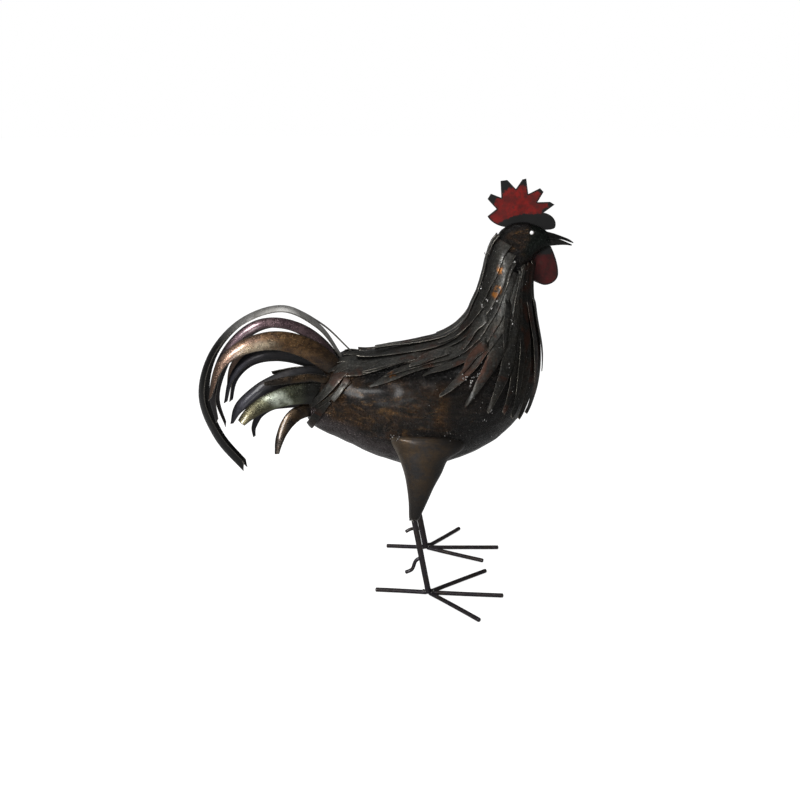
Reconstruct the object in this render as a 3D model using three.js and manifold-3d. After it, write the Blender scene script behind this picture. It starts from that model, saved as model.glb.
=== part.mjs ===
// A standing rooster welded up from scrap sheet steel and rod.
// Millimetres. +X points to the beak, +Z up, y = 0 is the bird's mid-plane and z = 0 the floor.
// The bird's right side is at negative y.
import * as THREE from 'three';
import { LoftGeometry } from 'three/addons/geometries/LoftGeometry.js';
import { mergeVertices } from 'three/addons/utils/BufferGeometryUtils.js';
import Module from 'manifold-3d';

// ---- driving dimensions -------------------------------------------------------------------

const FIT_GAP = 0.35;            // clearance between a trimmed piece and its neighbour
const RIGHT = -1;
const LEFT = 1;

// Closed body, neck and head: hoops from the rump to the base of the beak.
// Each hoop: [back x, back z, belly x, belly z, half width].
const HOOPS = [
  [-72, 269, -92, 221, 19],
  [-44, 286, -84, 197, 35],
  [-17, 286, -46, 177, 48],
  [15, 292, -3, 157, 57],
  [45, 298, 42, 146, 63],
  [68, 304, 87, 155, 65],
  [87, 314, 129, 175, 63],
  [101, 330, 159, 202, 57],
  [108, 346, 178, 237, 49],
  [114, 361, 183, 284, 41],
  [119, 380, 175, 332, 32],
  [123, 401, 171, 371, 25],
  [129, 418, 174, 394, 21],
  [139, 432, 182, 404, 17],
  [159, 438, 190, 409, 13],
  [176, 434, 193, 411, 9],
  [187, 428, 193, 412, 6],
];
const LAST_HOOP = HOOPS.length - 1;
const RINGS_PER_HOOP = 2;
const RING_SIDES = 24;

// Shingled strips: the seams that part them, as [hoop number, share of the way from back to belly].
// A strip lies between two seams, tucked under the one before it, and ends at its own hoop.
const STRIP = { thickness: 1, lowEdge: 1.8, highEdge: 3.9, widest: 19, spacing: 0.85 };
const TUCK = { most: 3, share: 0.18 };   // how far a strip's upper edge slips under the one before
const WELD_SUNK = 1.5;           // depth that a welded strip reaches into the shell
const SEAMS = [
  { seam: [[12.4, 0.012], [8, 0.004], [1, 0.004]] },
  { seam: [[12.4, 0.16], [9.7, 0.08], [7.8, 0.06], [6.2, 0.07], [4, 0.066], [2.2, 0.05], [1, 0.1]],
    tip: 2.3 },
  { seam: [[12.2, 0.4], [10.6, 0.32], [9.6, 0.233], [8.1, 0.165], [6.1, 0.135], [3.5, 0.15], [1, 0.2]],
    tip: 1.6 },
  { seam: [[11.8, 0.5], [10.4, 0.41], [9.4, 0.31], [7.4, 0.21], [4.9, 0.165], [3.4, 0.212], [1.5, 0.34]],
    tip: 2 },
  { seam: [[11.4, 0.53], [9.4, 0.36], [7.8, 0.285], [4.8, 0.24], [3.6, 0.27], [2.5, 0.345]], tip: 2.8 },
  { seam: [[11, 0.56], [9.4, 0.42], [8.1, 0.345], [6.2, 0.3], [4.7, 0.305], [4, 0.33]], tip: 4.1 },
  { seam: [[11, 0.59], [9.2, 0.45], [7.3, 0.36], [6.2, 0.37], [4.6, 0.44]], tip: 4.7 },
  { seam: [[11.2, 0.62], [9.4, 0.49], [7.8, 0.45], [6.5, 0.46], [5.4, 0.53]], tip: 5.5 },
  { seam: [[11.4, 0.64], [9, 0.53], [7.8, 0.54], [6.9, 0.57], [6, 0.63]], tip: 6.2 },
  { seam: [[11.5, 0.67], [9.4, 0.59], [8, 0.62], [6.6, 0.7]], tip: 6.7 },
  { seam: [[11.6, 0.73], [9.4, 0.67], [7.8, 0.72], [6.8, 0.78]], tip: 6.9, welded: true },
  { seam: [[11.8, 0.81], [9.4, 0.765], [7.8, 0.81], [7, 0.86]], tip: 7.1, welded: true },
  { seam: [[12, 0.9], [9.4, 0.87], [7.4, 0.93]], tip: 7.4, welded: true },
];

// Short rump strips that cover the seam between body and tail, root to tip.
// Each: hoop and share at root, middle and tip, then width.
const RUMP_STRIPS = [
  { path: [[1.1, 0.34], [0.88, 0.45], [0.72, 0.6]], width: 10 },
  { path: [[1.42, 0.36], [1.25, 0.46], [1.15, 0.55]], width: 10 },
  { path: [[1.1, 0.62], [0.97, 0.76], [0.84, 0.93]], width: 11 },
];
const RUMP_STRIP_LIFT = 1.6;     // how far a rump strip's tip stands higher than its root
const RUMP_STEPS = 5;

// Tail feathers: bent ribbons of sheet. Each station: [x, z, width]; y and tilt run root to tip.
// The tilt turns the ribbon from upright (0) towards lying flat (90) like a roof.
const TAIL_SHEET = 1.4;
const TAIL_CAMBER = 0.07;        // height of the lengthwise crown, as a share of the width
const TAIL_STEPS = 14;
const TAIL_FEATHERS = [
  { name: 'sickle_top_right', side: RIGHT, y: [7, 10.5], tilt: [80, 20],
    path: [[-40, 266, 6], [-51, 287, 8], [-74, 319, 12], [-114, 339.5, 15], [-163, 324, 15],
      [-199, 285, 15], [-213.5, 233, 15], [-197, 183, 15], [-165, 141, 8]] },
  { name: 'sickle_top_left', side: LEFT, y: [7, 10.5], tilt: [80, 20],
    path: [[-21, 270, 6], [-39, 287, 7], [-72, 318, 12], [-114, 337, 15], [-163, 322, 15],
      [-200, 282, 15], [-214.5, 230, 15], [-201, 178, 12], [-168, 136, 7]] },
  { name: 'sickle_second_right', side: RIGHT, y: [15, 26], tilt: [12, 30],
    path: [[-46, 262, 10], [-63, 291, 11], [-84, 312, 12], [-110, 324, 12], [-139, 324, 12],
      [-166, 308, 11], [-187, 279, 10], [-198, 240, 9], [-194, 206, 4]] },
  { name: 'sickle_second_left', side: LEFT, y: [15, 26], tilt: [12, 30],
    path: [[-46, 256, 10], [-63, 283.5, 11], [-84, 303, 12], [-110, 315, 12], [-139, 315, 12],
      [-166, 300, 11], [-188, 271, 9], [-203, 224, 6], [-194, 184, 3]] },
  { name: 'sickle_broad_right', side: RIGHT, y: [17, 36], tilt: [8, 30],
    path: [[-42, 252, 22], [-62, 278, 24], [-88, 297, 24], [-122, 306, 22], [-158, 299, 17],
      [-186, 277, 11], [-200, 236, 3]] },
  { name: 'sickle_broad_left', side: LEFT, y: [17, 36], tilt: [8, 30],
    path: [[-42, 242, 22], [-60, 264, 23], [-90, 286, 23], [-124, 293, 20], [-156, 284, 15],
      [-182, 260, 10], [-192, 228, 3]] },
  { name: 'sickle_inner_right', side: RIGHT, y: [8, 20], tilt: [8, 30],
    path: [[-50, 254, 16], [-68, 273, 18], [-97, 286, 21], [-127, 290, 19], [-155, 282, 13],
      [-176, 259, 7], [-185, 228, 4]] },
  { name: 'sickle_inner_left', side: LEFT, y: [8, 20], tilt: [8, 30],
    path: [[-50, 246, 15], [-68, 264, 17], [-97, 275, 18], [-127, 278, 15], [-157, 270, 11],
      [-178, 248, 6], [-186, 218, 4]] },
  { name: 'covert_upper_right', side: RIGHT, y: [15, 31], tilt: [8, 30],
    path: [[-60, 258, 18], [-83, 264, 19], [-108, 260, 20], [-130, 252, 19], [-150, 241, 16],
      [-168, 225, 12], [-177, 206, 3]] },
  { name: 'covert_upper_left', side: LEFT, y: [15, 31], tilt: [8, 30],
    path: [[-60, 246, 18], [-82, 252, 19], [-104, 247, 19], [-126, 240, 17], [-145, 229, 14],
      [-160, 214, 10], [-168, 198, 4]] },
  { name: 'covert_broad_right', side: RIGHT, y: [20.5, 48], tilt: [8, 28],
    path: [[-58, 238, 24], [-77, 243, 26], [-99, 243, 23], [-120, 239, 19], [-139, 233, 15],
      [-154, 225, 11], [-163, 212, 6]] },
  { name: 'covert_broad_left', side: LEFT, y: [20.5, 48], tilt: [8, 28],
    path: [[-58, 228, 23], [-77, 234, 25], [-97, 234, 23], [-116, 229, 19], [-134, 221, 14],
      [-149, 210, 10], [-156, 198, 5]] },
  { name: 'covert_short_right', side: RIGHT, y: [26, 40], tilt: [8, 25],
    path: [[-56, 256, 9], [-79, 263, 9], [-100, 262, 9], [-120, 260, 8], [-136, 258, 4]] },
  { name: 'covert_short_left', side: LEFT, y: [26, 36], tilt: [8, 25],
    path: [[-56, 247, 12], [-79, 253, 12], [-102, 255, 11], [-125, 252, 8], [-137, 251, 4]] },
  { name: 'covert_lower_right', side: RIGHT, y: [12, 38], tilt: [8, 20],
    path: [[-70, 222, 15], [-88, 220, 16.5], [-101, 216, 16.5], [-111, 207, 15], [-118, 195, 12],
      [-122, 183, 9], [-124, 171, 5]] },
  { name: 'covert_lower_left', side: LEFT, y: [12, 42], tilt: [8, 20],
    path: [[-66, 224, 15], [-95, 220, 15], [-120, 215, 12], [-137, 210, 10], [-153, 198, 9],
      [-162, 180, 6], [-163, 165, 3]] },
];

// Comb, wattle and beak stand in the mid-plane.
const COMB_PLATE = 2;
const WATTLE_PLATE = 2;
const EYE = { x: 169, z: 427, radius: 3 };

// Each thigh is a tapering sheet cone, narrow at the shank.
// Each row: [z, rear x, front x, middle y, half depth].
const THIGH = [
  [97, 31.4, 43.8, 57, 6.2],
  [118, 31, 52, 56.5, 8.5],
  [138, 29, 60.5, 55, 11.5],
  [154, 26.5, 69, 53, 14.5],
  [172, 23, 76, 50.5, 17.5],
  [183, 20, 93, 48.5, 19],
  [192, 16.5, 95, 48, 19.5],
  [202, 12, 84, 47.5, 18.5],
];
const THIGH_SIDES = 18;

// Legs and feet are round rod. Points are given for a side at positive y.
const SHANK = { radius: 4, top: [36.2, 56.6, 104], foot: [55.6, 61, 1.2], sides: 10 };
const TOE = { halfWidth: 2.6, sides: 8 };
const FEET = [
  { side: RIGHT, toes: { back: [174, 65], inner: [37, 93], middle: [-5, 90], outer: [-49, 86] } },
  { side: LEFT, toes: { back: [175, 53], inner: [-28, 83], middle: [0, 97], outer: [51, 77] } },
];
const SPUR = { radius: 2.3, sides: 8, steps: 7 };
const SPURS = [
  { side: RIGHT, path: [[48, 57.6, 48], [40, 57.6, 43], [35.5, 57.8, 32], [27, 58, 27.5]] },
  { side: LEFT, path: [[50, 59, 34], [44, 59, 30.5], [36, 58.5, 30.5], [28, 58, 26.5]] },
];

// ---- finishes -----------------------------------------------------------------------------

const FINISH = {
  bodySheet: { color: 0x3a2a1e, roughness: 0.35, metalness: 0.7 },
  strips: { color: 0x25211f, roughness: 0.45, metalness: 0.7 },
  red: { color: 0x7a1410, roughness: 0.55, metalness: 0.2 },
  blackened: { color: 0x141413, roughness: 0.4, metalness: 0.6 },
  bronze: { color: 0x5a3c26, roughness: 0.35, metalness: 0.8 },
  purple: { color: 0x3c2a30, roughness: 0.35, metalness: 0.8 },
  green: { color: 0x3a4233, roughness: 0.3, metalness: 0.8 },
  steel: { color: 0x4a4848, roughness: 0.4, metalness: 0.8 },
  rod: { color: 0x2f2828, roughness: 0.5, metalness: 0.6 },
};

function finish(name) {
  return new THREE.MeshStandardMaterial(FINISH[name]);
}

// ---- joining and cutting ------------------------------------------------------------------

const manifold = await Module();
manifold.setup();

function toSolid(geometry) {
  const bare = new THREE.BufferGeometry().copy(geometry);
  for (const name of ['normal', 'uv']) bare.deleteAttribute(name);
  const merged = mergeVertices(bare, 1e-4);
  return new manifold.Manifold(new manifold.Mesh({
    numProp: 3,
    vertProperties: new Float32Array(merged.getAttribute('position').array),
    triVerts: new Uint32Array(merged.getIndex().array),
  }));
}

function toGeometry(solid) {
  const mesh = solid.getMesh();
  const geometry = new THREE.BufferGeometry();
  geometry.setAttribute('position', new THREE.BufferAttribute(mesh.vertProperties, 3));
  geometry.setIndex(new THREE.BufferAttribute(mesh.triVerts, 1));
  return geometry;
}

// A loft through closed sections, with both ends capped and its faces turned outwards.
function loft(sections) {
  const [first, second] = sections;
  const start = middleOf(first);
  const turn = new THREE.Vector3();
  first.forEach((point, i) => {
    const next = first[(i + 1) % first.length];
    turn.add(point.clone().sub(start).cross(next.clone().sub(start)));
  });
  const forwards = turn.dot(middleOf(second).sub(start)) > 0;
  const ordered = forwards ? sections : sections.map((section) => [...section].reverse());
  return new LoftGeometry(ordered, { capStart: true, capEnd: true });
}

function middleOf(points) {
  return points.reduce((sum, point) => sum.add(point), new THREE.Vector3()).divideScalar(points.length);
}

function steps(count) {
  return Array.from({ length: count + 1 }, (_, i) => i / count);
}

function smoothCurve(points) {
  return new THREE.CatmullRomCurve3(points, false, 'catmullrom', 0.5);
}

// ---- body shell ---------------------------------------------------------------------------

const backLine = smoothCurve(HOOPS.map(([x, z, , , halfWidth]) => new THREE.Vector3(x, halfWidth, z)));
const bellyLine = smoothCurve(HOOPS.map(([, , x, z]) => new THREE.Vector3(x, 0, z)));

// The point of the bare shell at a hoop number and a share of the way from back (0) to belly (1).
function barePoint(hoop, share, side) {
  const back = backLine.getPoint(hoop / LAST_HOOP);
  const belly = bellyLine.getPoint(hoop / LAST_HOOP);
  const halfWidth = back.y;
  back.y = 0;
  const middle = back.clone().add(belly).multiplyScalar(0.5);
  const angle = share * Math.PI;
  return middle.clone()
    .addScaledVector(back.sub(middle), Math.cos(angle))
    .add(new THREE.Vector3(0, side * halfWidth * Math.sin(angle), 0));
}

function shellPoint(hoop, share, height, side) {
  const nudge = 1e-3;
  const along = barePoint(Math.min(hoop + nudge, LAST_HOOP), share, side)
    .sub(barePoint(Math.max(hoop - nudge, 0), share, side));
  const around = barePoint(hoop, share + nudge, side).sub(barePoint(hoop, share - nudge, side));
  const normal = along.cross(around).multiplyScalar(side).normalize();
  return barePoint(hoop, share, side).addScaledVector(normal, height);
}

// Millimetres that one unit of share, or one hoop, covers at a place on the shell.
function shareLength(hoop, share) {
  const nudge = 1e-3;
  const [before, after] = [-nudge, nudge].map((step) => barePoint(hoop, share + step, LEFT));
  return after.distanceTo(before) / (2 * nudge);
}

function hoopLength(hoop, share) {
  const nudge = 1e-2;
  const [before, after] = [-nudge, nudge].map((step) => barePoint(hoop + step, share, LEFT));
  return after.distanceTo(before) / (2 * nudge);
}

function shellRing(hoop, height) {
  return Array.from({ length: RING_SIDES }, (_, i) => {
    const turn = 2 * i / RING_SIDES;
    return turn <= 1 ? shellPoint(hoop, turn, height, LEFT) : shellPoint(hoop, 2 - turn, height, RIGHT);
  });
}

function shellLoft(height) {
  const rings = steps(LAST_HOOP * RINGS_PER_HOOP).map((t) => shellRing(t * LAST_HOOP, height));
  for (const [end, inner] of [[0, 1], [rings.length - 1, rings.length - 2]]) {
    const outwards = rings[end][0].clone().sub(rings[inner][0]).setLength(height);
    rings[end].forEach((point) => point.add(outwards));
  }
  return loft(rings);
}

// ---- shingled strips ----------------------------------------------------------------------

// The share of a seam at a hoop: a smooth curve through its unevenly spaced points.
function seamShare(seam, hoop) {
  const points = [...seam].sort((a, b) => a[0] - b[0]);
  const last = points.length - 1;
  const place = THREE.MathUtils.clamp(points.findIndex(([u]) => u > hoop) - 1, 0, last - 1);
  const i = hoop >= points[last][0] ? last - 1 : place;
  const slope = (k) => {
    const [before, after] = [points[Math.max(k - 1, 0)], points[Math.min(k + 1, last)]];
    return (after[1] - before[1]) / (after[0] - before[0]);
  };
  const span = points[i + 1][0] - points[i][0];
  const t = THREE.MathUtils.clamp((hoop - points[i][0]) / span, 0, 1);
  const [t2, t3] = [t * t, t * t * t];
  return (2 * t3 - 3 * t2 + 1) * points[i][1] + (t3 - 2 * t2 + t) * span * slope(i)
    + (3 * t2 - 2 * t3) * points[i + 1][1] + (t3 - t2) * span * slope(i + 1);
}

function tipTaper(t) {
  const taperStart = 0.82;
  const tipShare = 0.3;
  const roundness = 1.4;
  return 1 - (1 - tipShare) * (Math.max(t - taperStart, 0) / (1 - taperStart)) ** roundness;
}

// One section of a strip: across the upper face and back along the lower one.
function stripSection(places, side, bottom = null) {
  const outer = places.map(({ hoop, share, top }) => shellPoint(hoop, share, top, side));
  const inner = places.map(({ hoop, share, height }) => shellPoint(hoop, share, bottom ?? height, side));
  return [...outer, ...inner.reverse()];
}

// A strip from its root hoop to its tip. A welded one also fills the gap down into the shell.
function shingle(number, side) {
  const { seam, tip, welded } = SEAMS[number];
  const root = seam[0][0];
  const count = Math.ceil((root - tip) / STRIP.spacing);
  return loft(steps(count).map((t) => {
    const hoop = THREE.MathUtils.lerp(root, tip, t);
    const low = seamShare(seam, hoop);
    const perShare = shareLength(hoop, low);
    const seamAbove = seamShare(SEAMS[number - 1].seam, hoop);
    const tuck = number === 1 ? 0 : Math.min(TUCK.most / perShare, TUCK.share * (low - seamAbove));
    const high = Math.max(seamAbove - tuck, low - STRIP.widest / perShare);
    const middle = (low + high) / 2;
    const half = (low - high) / 2 * tipTaper(t);
    return stripSection([-1, 0, 1].map((across) => {
      const height = THREE.MathUtils.mapLinear(across, -1, 1, STRIP.lowEdge, STRIP.highEdge);
      return { hoop, share: middle + across * half, top: height + STRIP.thickness, height };
    }), side, welded ? -WELD_SUNK : null);
  }));
}

function rumpStrip({ path, width }, side) {
  const route = smoothCurve(path.map(([hoop, share]) => new THREE.Vector3(hoop, share, 0)));
  const sections = steps(RUMP_STEPS).map((t) => {
    const { x: hoop, y: share } = route.getPoint(t);
    const ahead = route.getTangent(t);
    const perHoop = hoopLength(hoop, share);
    const perShare = shareLength(hoop, share);
    const across = new THREE.Vector2(-ahead.y * perShare, ahead.x * perHoop)
      .setLength(width / 2 * tipTaper(t));
    const height = STRIP.lowEdge + RUMP_STRIP_LIFT * t;
    return stripSection([-1, 0, 1].map((k) => ({
      hoop: hoop + k * across.x / perHoop,
      share: share + k * across.y / perShare,
      top: height + STRIP.thickness,
      height,
    })), side);
  });
  return loft(sections);
}

// ---- tail feathers ------------------------------------------------------------------------

function tailFeather({ side, y, tilt, path }) {
  const route = smoothCurve(path.map(([x, z, width]) => new THREE.Vector3(x, width, z)));
  const sections = steps(TAIL_STEPS).map((t) => {
    const point = route.getPoint(t);
    const width = point.y;
    const along = route.getTangent(t);
    const outwards = new THREE.Vector3(along.z, 0, -along.x).normalize();
    const sideways = new THREE.Vector3(0, side, 0);
    const lean = THREE.MathUtils.degToRad(THREE.MathUtils.lerp(...tilt, t * t));
    const across = outwards.clone().multiplyScalar(Math.cos(lean)).addScaledVector(sideways, -Math.sin(lean));
    const face = outwards.clone().multiplyScalar(Math.sin(lean)).addScaledVector(sideways, Math.cos(lean));
    const centre = new THREE.Vector3(point.x, side * THREE.MathUtils.lerp(...y, t), point.z);
    const place = (k, height) => centre.clone()
      .addScaledVector(across, k * width / 2)
      .addScaledVector(face, height + (k === 0 ? TAIL_CAMBER * width : 0));
    return [
      ...[-1, 0, 1].map((k) => place(k, TAIL_SHEET / 2)),
      ...[1, 0, -1].map((k) => place(k, -TAIL_SHEET / 2)),
    ];
  });
  return loft(sections);
}

// ---- head trimmings -----------------------------------------------------------------------

// A plate of an upright outline, centred on the mid-plane.
function plate(outline, thickness) {
  return new THREE.ExtrudeGeometry(outline, { depth: thickness, bevelEnabled: false, curveSegments: 4 })
    .rotateX(Math.PI / 2)
    .translate(0, thickness / 2, 0);
}

function comb() {
  const outline = new THREE.Shape();
  outline.moveTo(150, 424);
  outline.lineTo(142, 432);
  outline.bezierCurveTo(132, 432.5, 123, 438, 120, 444);
  outline.lineTo(130, 452);
  for (const [valleyX, valleyZ, leftX, leftZ, rightX, rightZ] of [
    [130, 452, 119.5, 463, 123, 469],
    [135, 464.5, 133.5, 483, 141, 484],
    [151, 474, 158, 484.5, 162, 485.5],
    [165, 468.5, 178, 475, 182, 471],
    [175.5, 459.5, 190, 460, 195, 457],
  ]) {
    outline.lineTo(valleyX, valleyZ);
    outline.lineTo(leftX, leftZ);
    outline.lineTo(rightX, rightZ);
  }
  outline.lineTo(183, 448);
  outline.bezierCurveTo(192, 447, 199, 440, 197, 432);
  outline.bezierCurveTo(196, 429.5, 191, 428.8, 186, 429);
  outline.lineTo(172, 424);
  return plate(outline, COMB_PLATE);
}

function wattle() {
  const outline = new THREE.Shape();
  outline.moveTo(186, 413);
  outline.lineTo(193, 410.5);
  outline.bezierCurveTo(198, 401, 203, 389, 203, 378);
  outline.bezierCurveTo(202, 369, 193, 365.5, 187, 366);
  outline.bezierCurveTo(182, 367, 179, 369, 174, 371);
  outline.lineTo(170, 372);
  return plate(outline, WATTLE_PLATE);
}

const BEAK_STEPS = 6;            // facets round the curved side of each beak half

// Half of the beak. Each station: [x, flat edge z, crown z, half width].
function beakHalf(stations) {
  const corners = steps(BEAK_STEPS);
  const sections = stations.map(([x, flat, crown, halfWidth]) => corners.map((t) => new THREE.Vector3(
    x,
    halfWidth * Math.cos(t * Math.PI),
    flat + (crown - flat) * Math.sin(t * Math.PI),
  )));
  return loft(sections);
}

const UPPER_BEAK = [
  [182, 419.3, 428.5, 5.6], [190, 419.3, 426.5, 5.4], [197, 418.9, 424.6, 4.6],
  [205, 418.2, 421.8, 3.5], [213, 415.6, 418.6, 2.2], [218.6, 413.8, 415, 0.8],
];
const LOWER_BEAK = [
  [182, 418.9, 410.4, 5], [192, 418.9, 410.8, 4.8], [198, 418.3, 411.3, 4],
  [205, 416.6, 411.8, 3.1], [212, 413.6, 411.6, 2], [217, 411.8, 410.9, 0.8],
];

// ---- legs ---------------------------------------------------------------------------------

function rod(from, to, radius, sides) {
  const axis = to.clone().sub(from);
  const middle = from.clone().add(to).multiplyScalar(0.5);
  const upright = new THREE.Vector3(0, 1, 0);
  return new THREE.CylinderGeometry(radius, radius, axis.length(), sides)
    .rotateY(Math.PI / sides)
    .applyQuaternion(new THREE.Quaternion().setFromUnitVectors(upright, axis.normalize()))
    .translate(middle.x, middle.y, middle.z);
}

function sidePoint([x, y, z], side) {
  return new THREE.Vector3(x, side * y, z);
}

function thigh(side) {
  const corners = Array.from({ length: THIGH_SIDES }, (_, i) => 2 * Math.PI * i / THIGH_SIDES);
  return loft(THIGH.map(([z, rear, front, middleY, halfDepth]) => corners.map((angle) => new THREE.Vector3(
    (rear + front) / 2 + (front - rear) / 2 * Math.cos(angle),
    side * (middleY + halfDepth * Math.sin(angle)),
    z,
  ))));
}

function shank(side, grow = 0) {
  return rod(sidePoint(SHANK.top, side), sidePoint(SHANK.foot, side), SHANK.radius + grow, SHANK.sides);
}

// A toe lies along the floor on one flat of its rod, from the side of the shank outwards.
function toe([degrees, reach], side, grow = 0) {
  const [x, y] = SHANK.foot;
  const start = SHANK.radius + FIT_GAP;
  const radius = (TOE.halfWidth + grow) / Math.cos(Math.PI / TOE.sides);
  return new THREE.CylinderGeometry(radius, radius, reach - start, TOE.sides)
    .rotateY(Math.PI / TOE.sides)
    .translate(0, (start + reach) / 2, 0)
    .rotateZ(THREE.MathUtils.degToRad(degrees - 90))
    .translate(x, side * y, TOE.halfWidth);
}

function spur({ side, path }) {
  const circle = new THREE.EllipseCurve(0, 0, SPUR.radius, SPUR.radius).getPoints(SPUR.sides);
  const outline = new THREE.Shape(circle.slice(0, SPUR.sides));
  return new THREE.ExtrudeGeometry(outline, {
    steps: SPUR.steps,
    extrudePath: smoothCurve(path.map((point) => sidePoint(point, side))),
    bevelEnabled: false,
  });
}

// ---- assembly -----------------------------------------------------------------------------

const rooster = new THREE.Group();

function add(name, geometry, finishName) {
  const mesh = new THREE.Mesh(geometry, finish(finishName));
  mesh.name = name;
  rooster.add(mesh);
}

function sideName(side) {
  return side === LEFT ? 'left' : 'right';
}

const bodyCutter = toSolid(shellLoft(FIT_GAP));

function trimmed(geometry, cutters) {
  return toGeometry(cutters.reduce((solid, cutter) => solid.subtract(cutter), toSolid(geometry)));
}

function buildBody() {
  const hole = new THREE.CylinderGeometry(EYE.radius, EYE.radius, 60, 16).translate(EYE.x, 0, EYE.z);
  let body = toSolid(shellLoft(0));
  for (const side of [RIGHT, LEFT]) {
    SEAMS.forEach((row, number) => {
      if (row.welded) body = body.add(toSolid(shingle(number, side)));
    });
  }
  add('body_shell', toGeometry(body.subtract(toSolid(hole))), 'bodySheet');
}

function buildStrips(side) {
  let count = 0;
  SEAMS.forEach((row, number) => {
    if (!row.tip || row.welded) return;
    count += 1;
    add(`strip_${sideName(side)}_${String(count).padStart(2, '0')}`, shingle(number, side), 'strips');
  });
  RUMP_STRIPS.forEach((strip, i) => {
    add(`rump_strip_${sideName(side)}_${i + 1}`, rumpStrip(strip, side), 'strips');
  });
}

function tailFinish(name) {
  if (name.includes('top')) return 'steel';
  if (name.includes('second')) return 'purple';
  if (name.includes('sickle_broad')) return 'bronze';
  if (name.includes('covert_broad')) return 'green';
  return name.includes('lower') ? 'bronze' : 'blackened';
}

function buildTail() {
  for (const feather of TAIL_FEATHERS) {
    add(feather.name, trimmed(tailFeather(feather), [bodyCutter]), tailFinish(feather.name));
  }
}

function buildHead() {
  const upper = beakHalf(UPPER_BEAK);
  const lower = beakHalf(LOWER_BEAK);
  add('comb', trimmed(comb(), [bodyCutter]), 'red');
  add('beak_upper', trimmed(upper, [bodyCutter]), 'blackened');
  add('beak_lower', trimmed(lower, [bodyCutter]), 'blackened');
  add('wattle', trimmed(wattle(), [bodyCutter]), 'red');
}

function buildLeg({ side, toes }) {
  const name = sideName(side);
  const shankCutter = toSolid(shank(side, FIT_GAP));
  add(`thigh_${name}`, trimmed(thigh(side), [bodyCutter, shankCutter]), 'bodySheet');
  add(`shank_${name}`, shank(side), 'rod');
  add(`spur_${name}`, trimmed(spur(SPURS.find((row) => row.side === side)), [shankCutter]), 'rod');
  const middleCutter = toSolid(toe(toes.middle, side, FIT_GAP));
  for (const [toeName, row] of Object.entries(toes)) {
    const besideMiddle = toeName === 'inner' || toeName === 'outer';
    const cutters = besideMiddle ? [shankCutter, middleCutter] : [shankCutter];
    add(`toe_${toeName}_${name}`, trimmed(toe(row, side), cutters), 'rod');
  }
}

buildBody();
buildStrips(RIGHT);
buildStrips(LEFT);
buildTail();
buildHead();
FEET.forEach(buildLeg);

export default rooster;
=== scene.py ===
import math
import random

import bmesh
import bpy
from bpy.props import FloatProperty, FloatVectorProperty, IntProperty, PointerProperty
from mathutils import Matrix, Vector, noise


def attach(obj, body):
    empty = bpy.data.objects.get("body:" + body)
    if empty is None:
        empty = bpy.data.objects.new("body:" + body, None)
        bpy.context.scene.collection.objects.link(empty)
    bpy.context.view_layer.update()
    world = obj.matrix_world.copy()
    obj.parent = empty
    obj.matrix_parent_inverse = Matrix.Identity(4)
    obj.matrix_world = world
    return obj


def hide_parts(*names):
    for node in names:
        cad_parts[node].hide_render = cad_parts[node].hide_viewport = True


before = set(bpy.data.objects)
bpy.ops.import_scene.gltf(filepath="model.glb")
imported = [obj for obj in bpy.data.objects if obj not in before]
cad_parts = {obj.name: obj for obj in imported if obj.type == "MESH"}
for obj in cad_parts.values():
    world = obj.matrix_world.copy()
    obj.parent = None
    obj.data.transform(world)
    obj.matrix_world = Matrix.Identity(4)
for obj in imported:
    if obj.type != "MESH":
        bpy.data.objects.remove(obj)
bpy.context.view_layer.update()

bl_info = {
    "name": "Welded Rooster Maker",
    "version": (1, 0, 0),
    "blender": (4, 5, 0),
    "location": "View3D > Sidebar > Rooster",
    "description": "Builds a rooster welded from scrap sheet steel around its packed solids",
    "category": "Add Mesh",
}

MM = 0.001
# Edge distance, in millimetres, from which a place counts as far from any edge, and the usual shade.
FAR_FROM_EDGE, MIDDLE_TONE = 9.0, 0.5
# How finely each form is meshed: along and around or across.
BODY_MESH, ROW_MESH, BACK_MESH, OVERLAY_MESH, RUMP_MESH = (180, 144), (9, 5), (40, 4), (22, 4), (18, 4)
FEATHER_MESH, BEAK_MESH, THIGH_MESH, SPUR_MESH, PLATE_MESH = (64, 8), (28, 28), (72, 40), (36, 14), 1.7
STRIP_EDGE, FEATHER_EDGE, PLATE_EDGE, BEAK_EDGE = 0.25, 0.3, 0.35, 0.3
RIGHT, LEFT = -1, 1
SIDES = ((RIGHT, "right"), (LEFT, "left"))

# ---- layout, in millimetres ----------------------------------------------------------------

# Body hoops from rump to beak: back x, back z, belly x, belly z, half width.
HOOPS = [
    (-72, 269, -92, 221, 19),
    (-44, 286, -84, 197, 35),
    (-17, 286, -46, 177, 48),
    (15, 292, -3, 157, 57),
    (45, 298, 42, 146, 63),
    (68, 304, 87, 155, 65),
    (87, 314, 129, 175, 63),
    (101, 330, 159, 202, 57),
    (108, 346, 178, 237, 49),
    (114, 361, 183, 284, 41),
    (119, 380, 175, 332, 32),
    (123, 401, 171, 371, 25),
    (129, 418, 174, 394, 21),
    (139, 432, 182, 404, 17),
    (159, 438, 190, 409, 13),
    (176, 434, 193, 411, 9),
    (187, 428, 193, 412, 6),
]
LAST_HOOP = len(HOOPS) - 1

STRIP_LOW, STRIP_HIGH, STRIP_WIDEST = 1.8, 3.9, 19.0
TUCK_MOST, TUCK_SHARE = 3.0, 0.18
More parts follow.
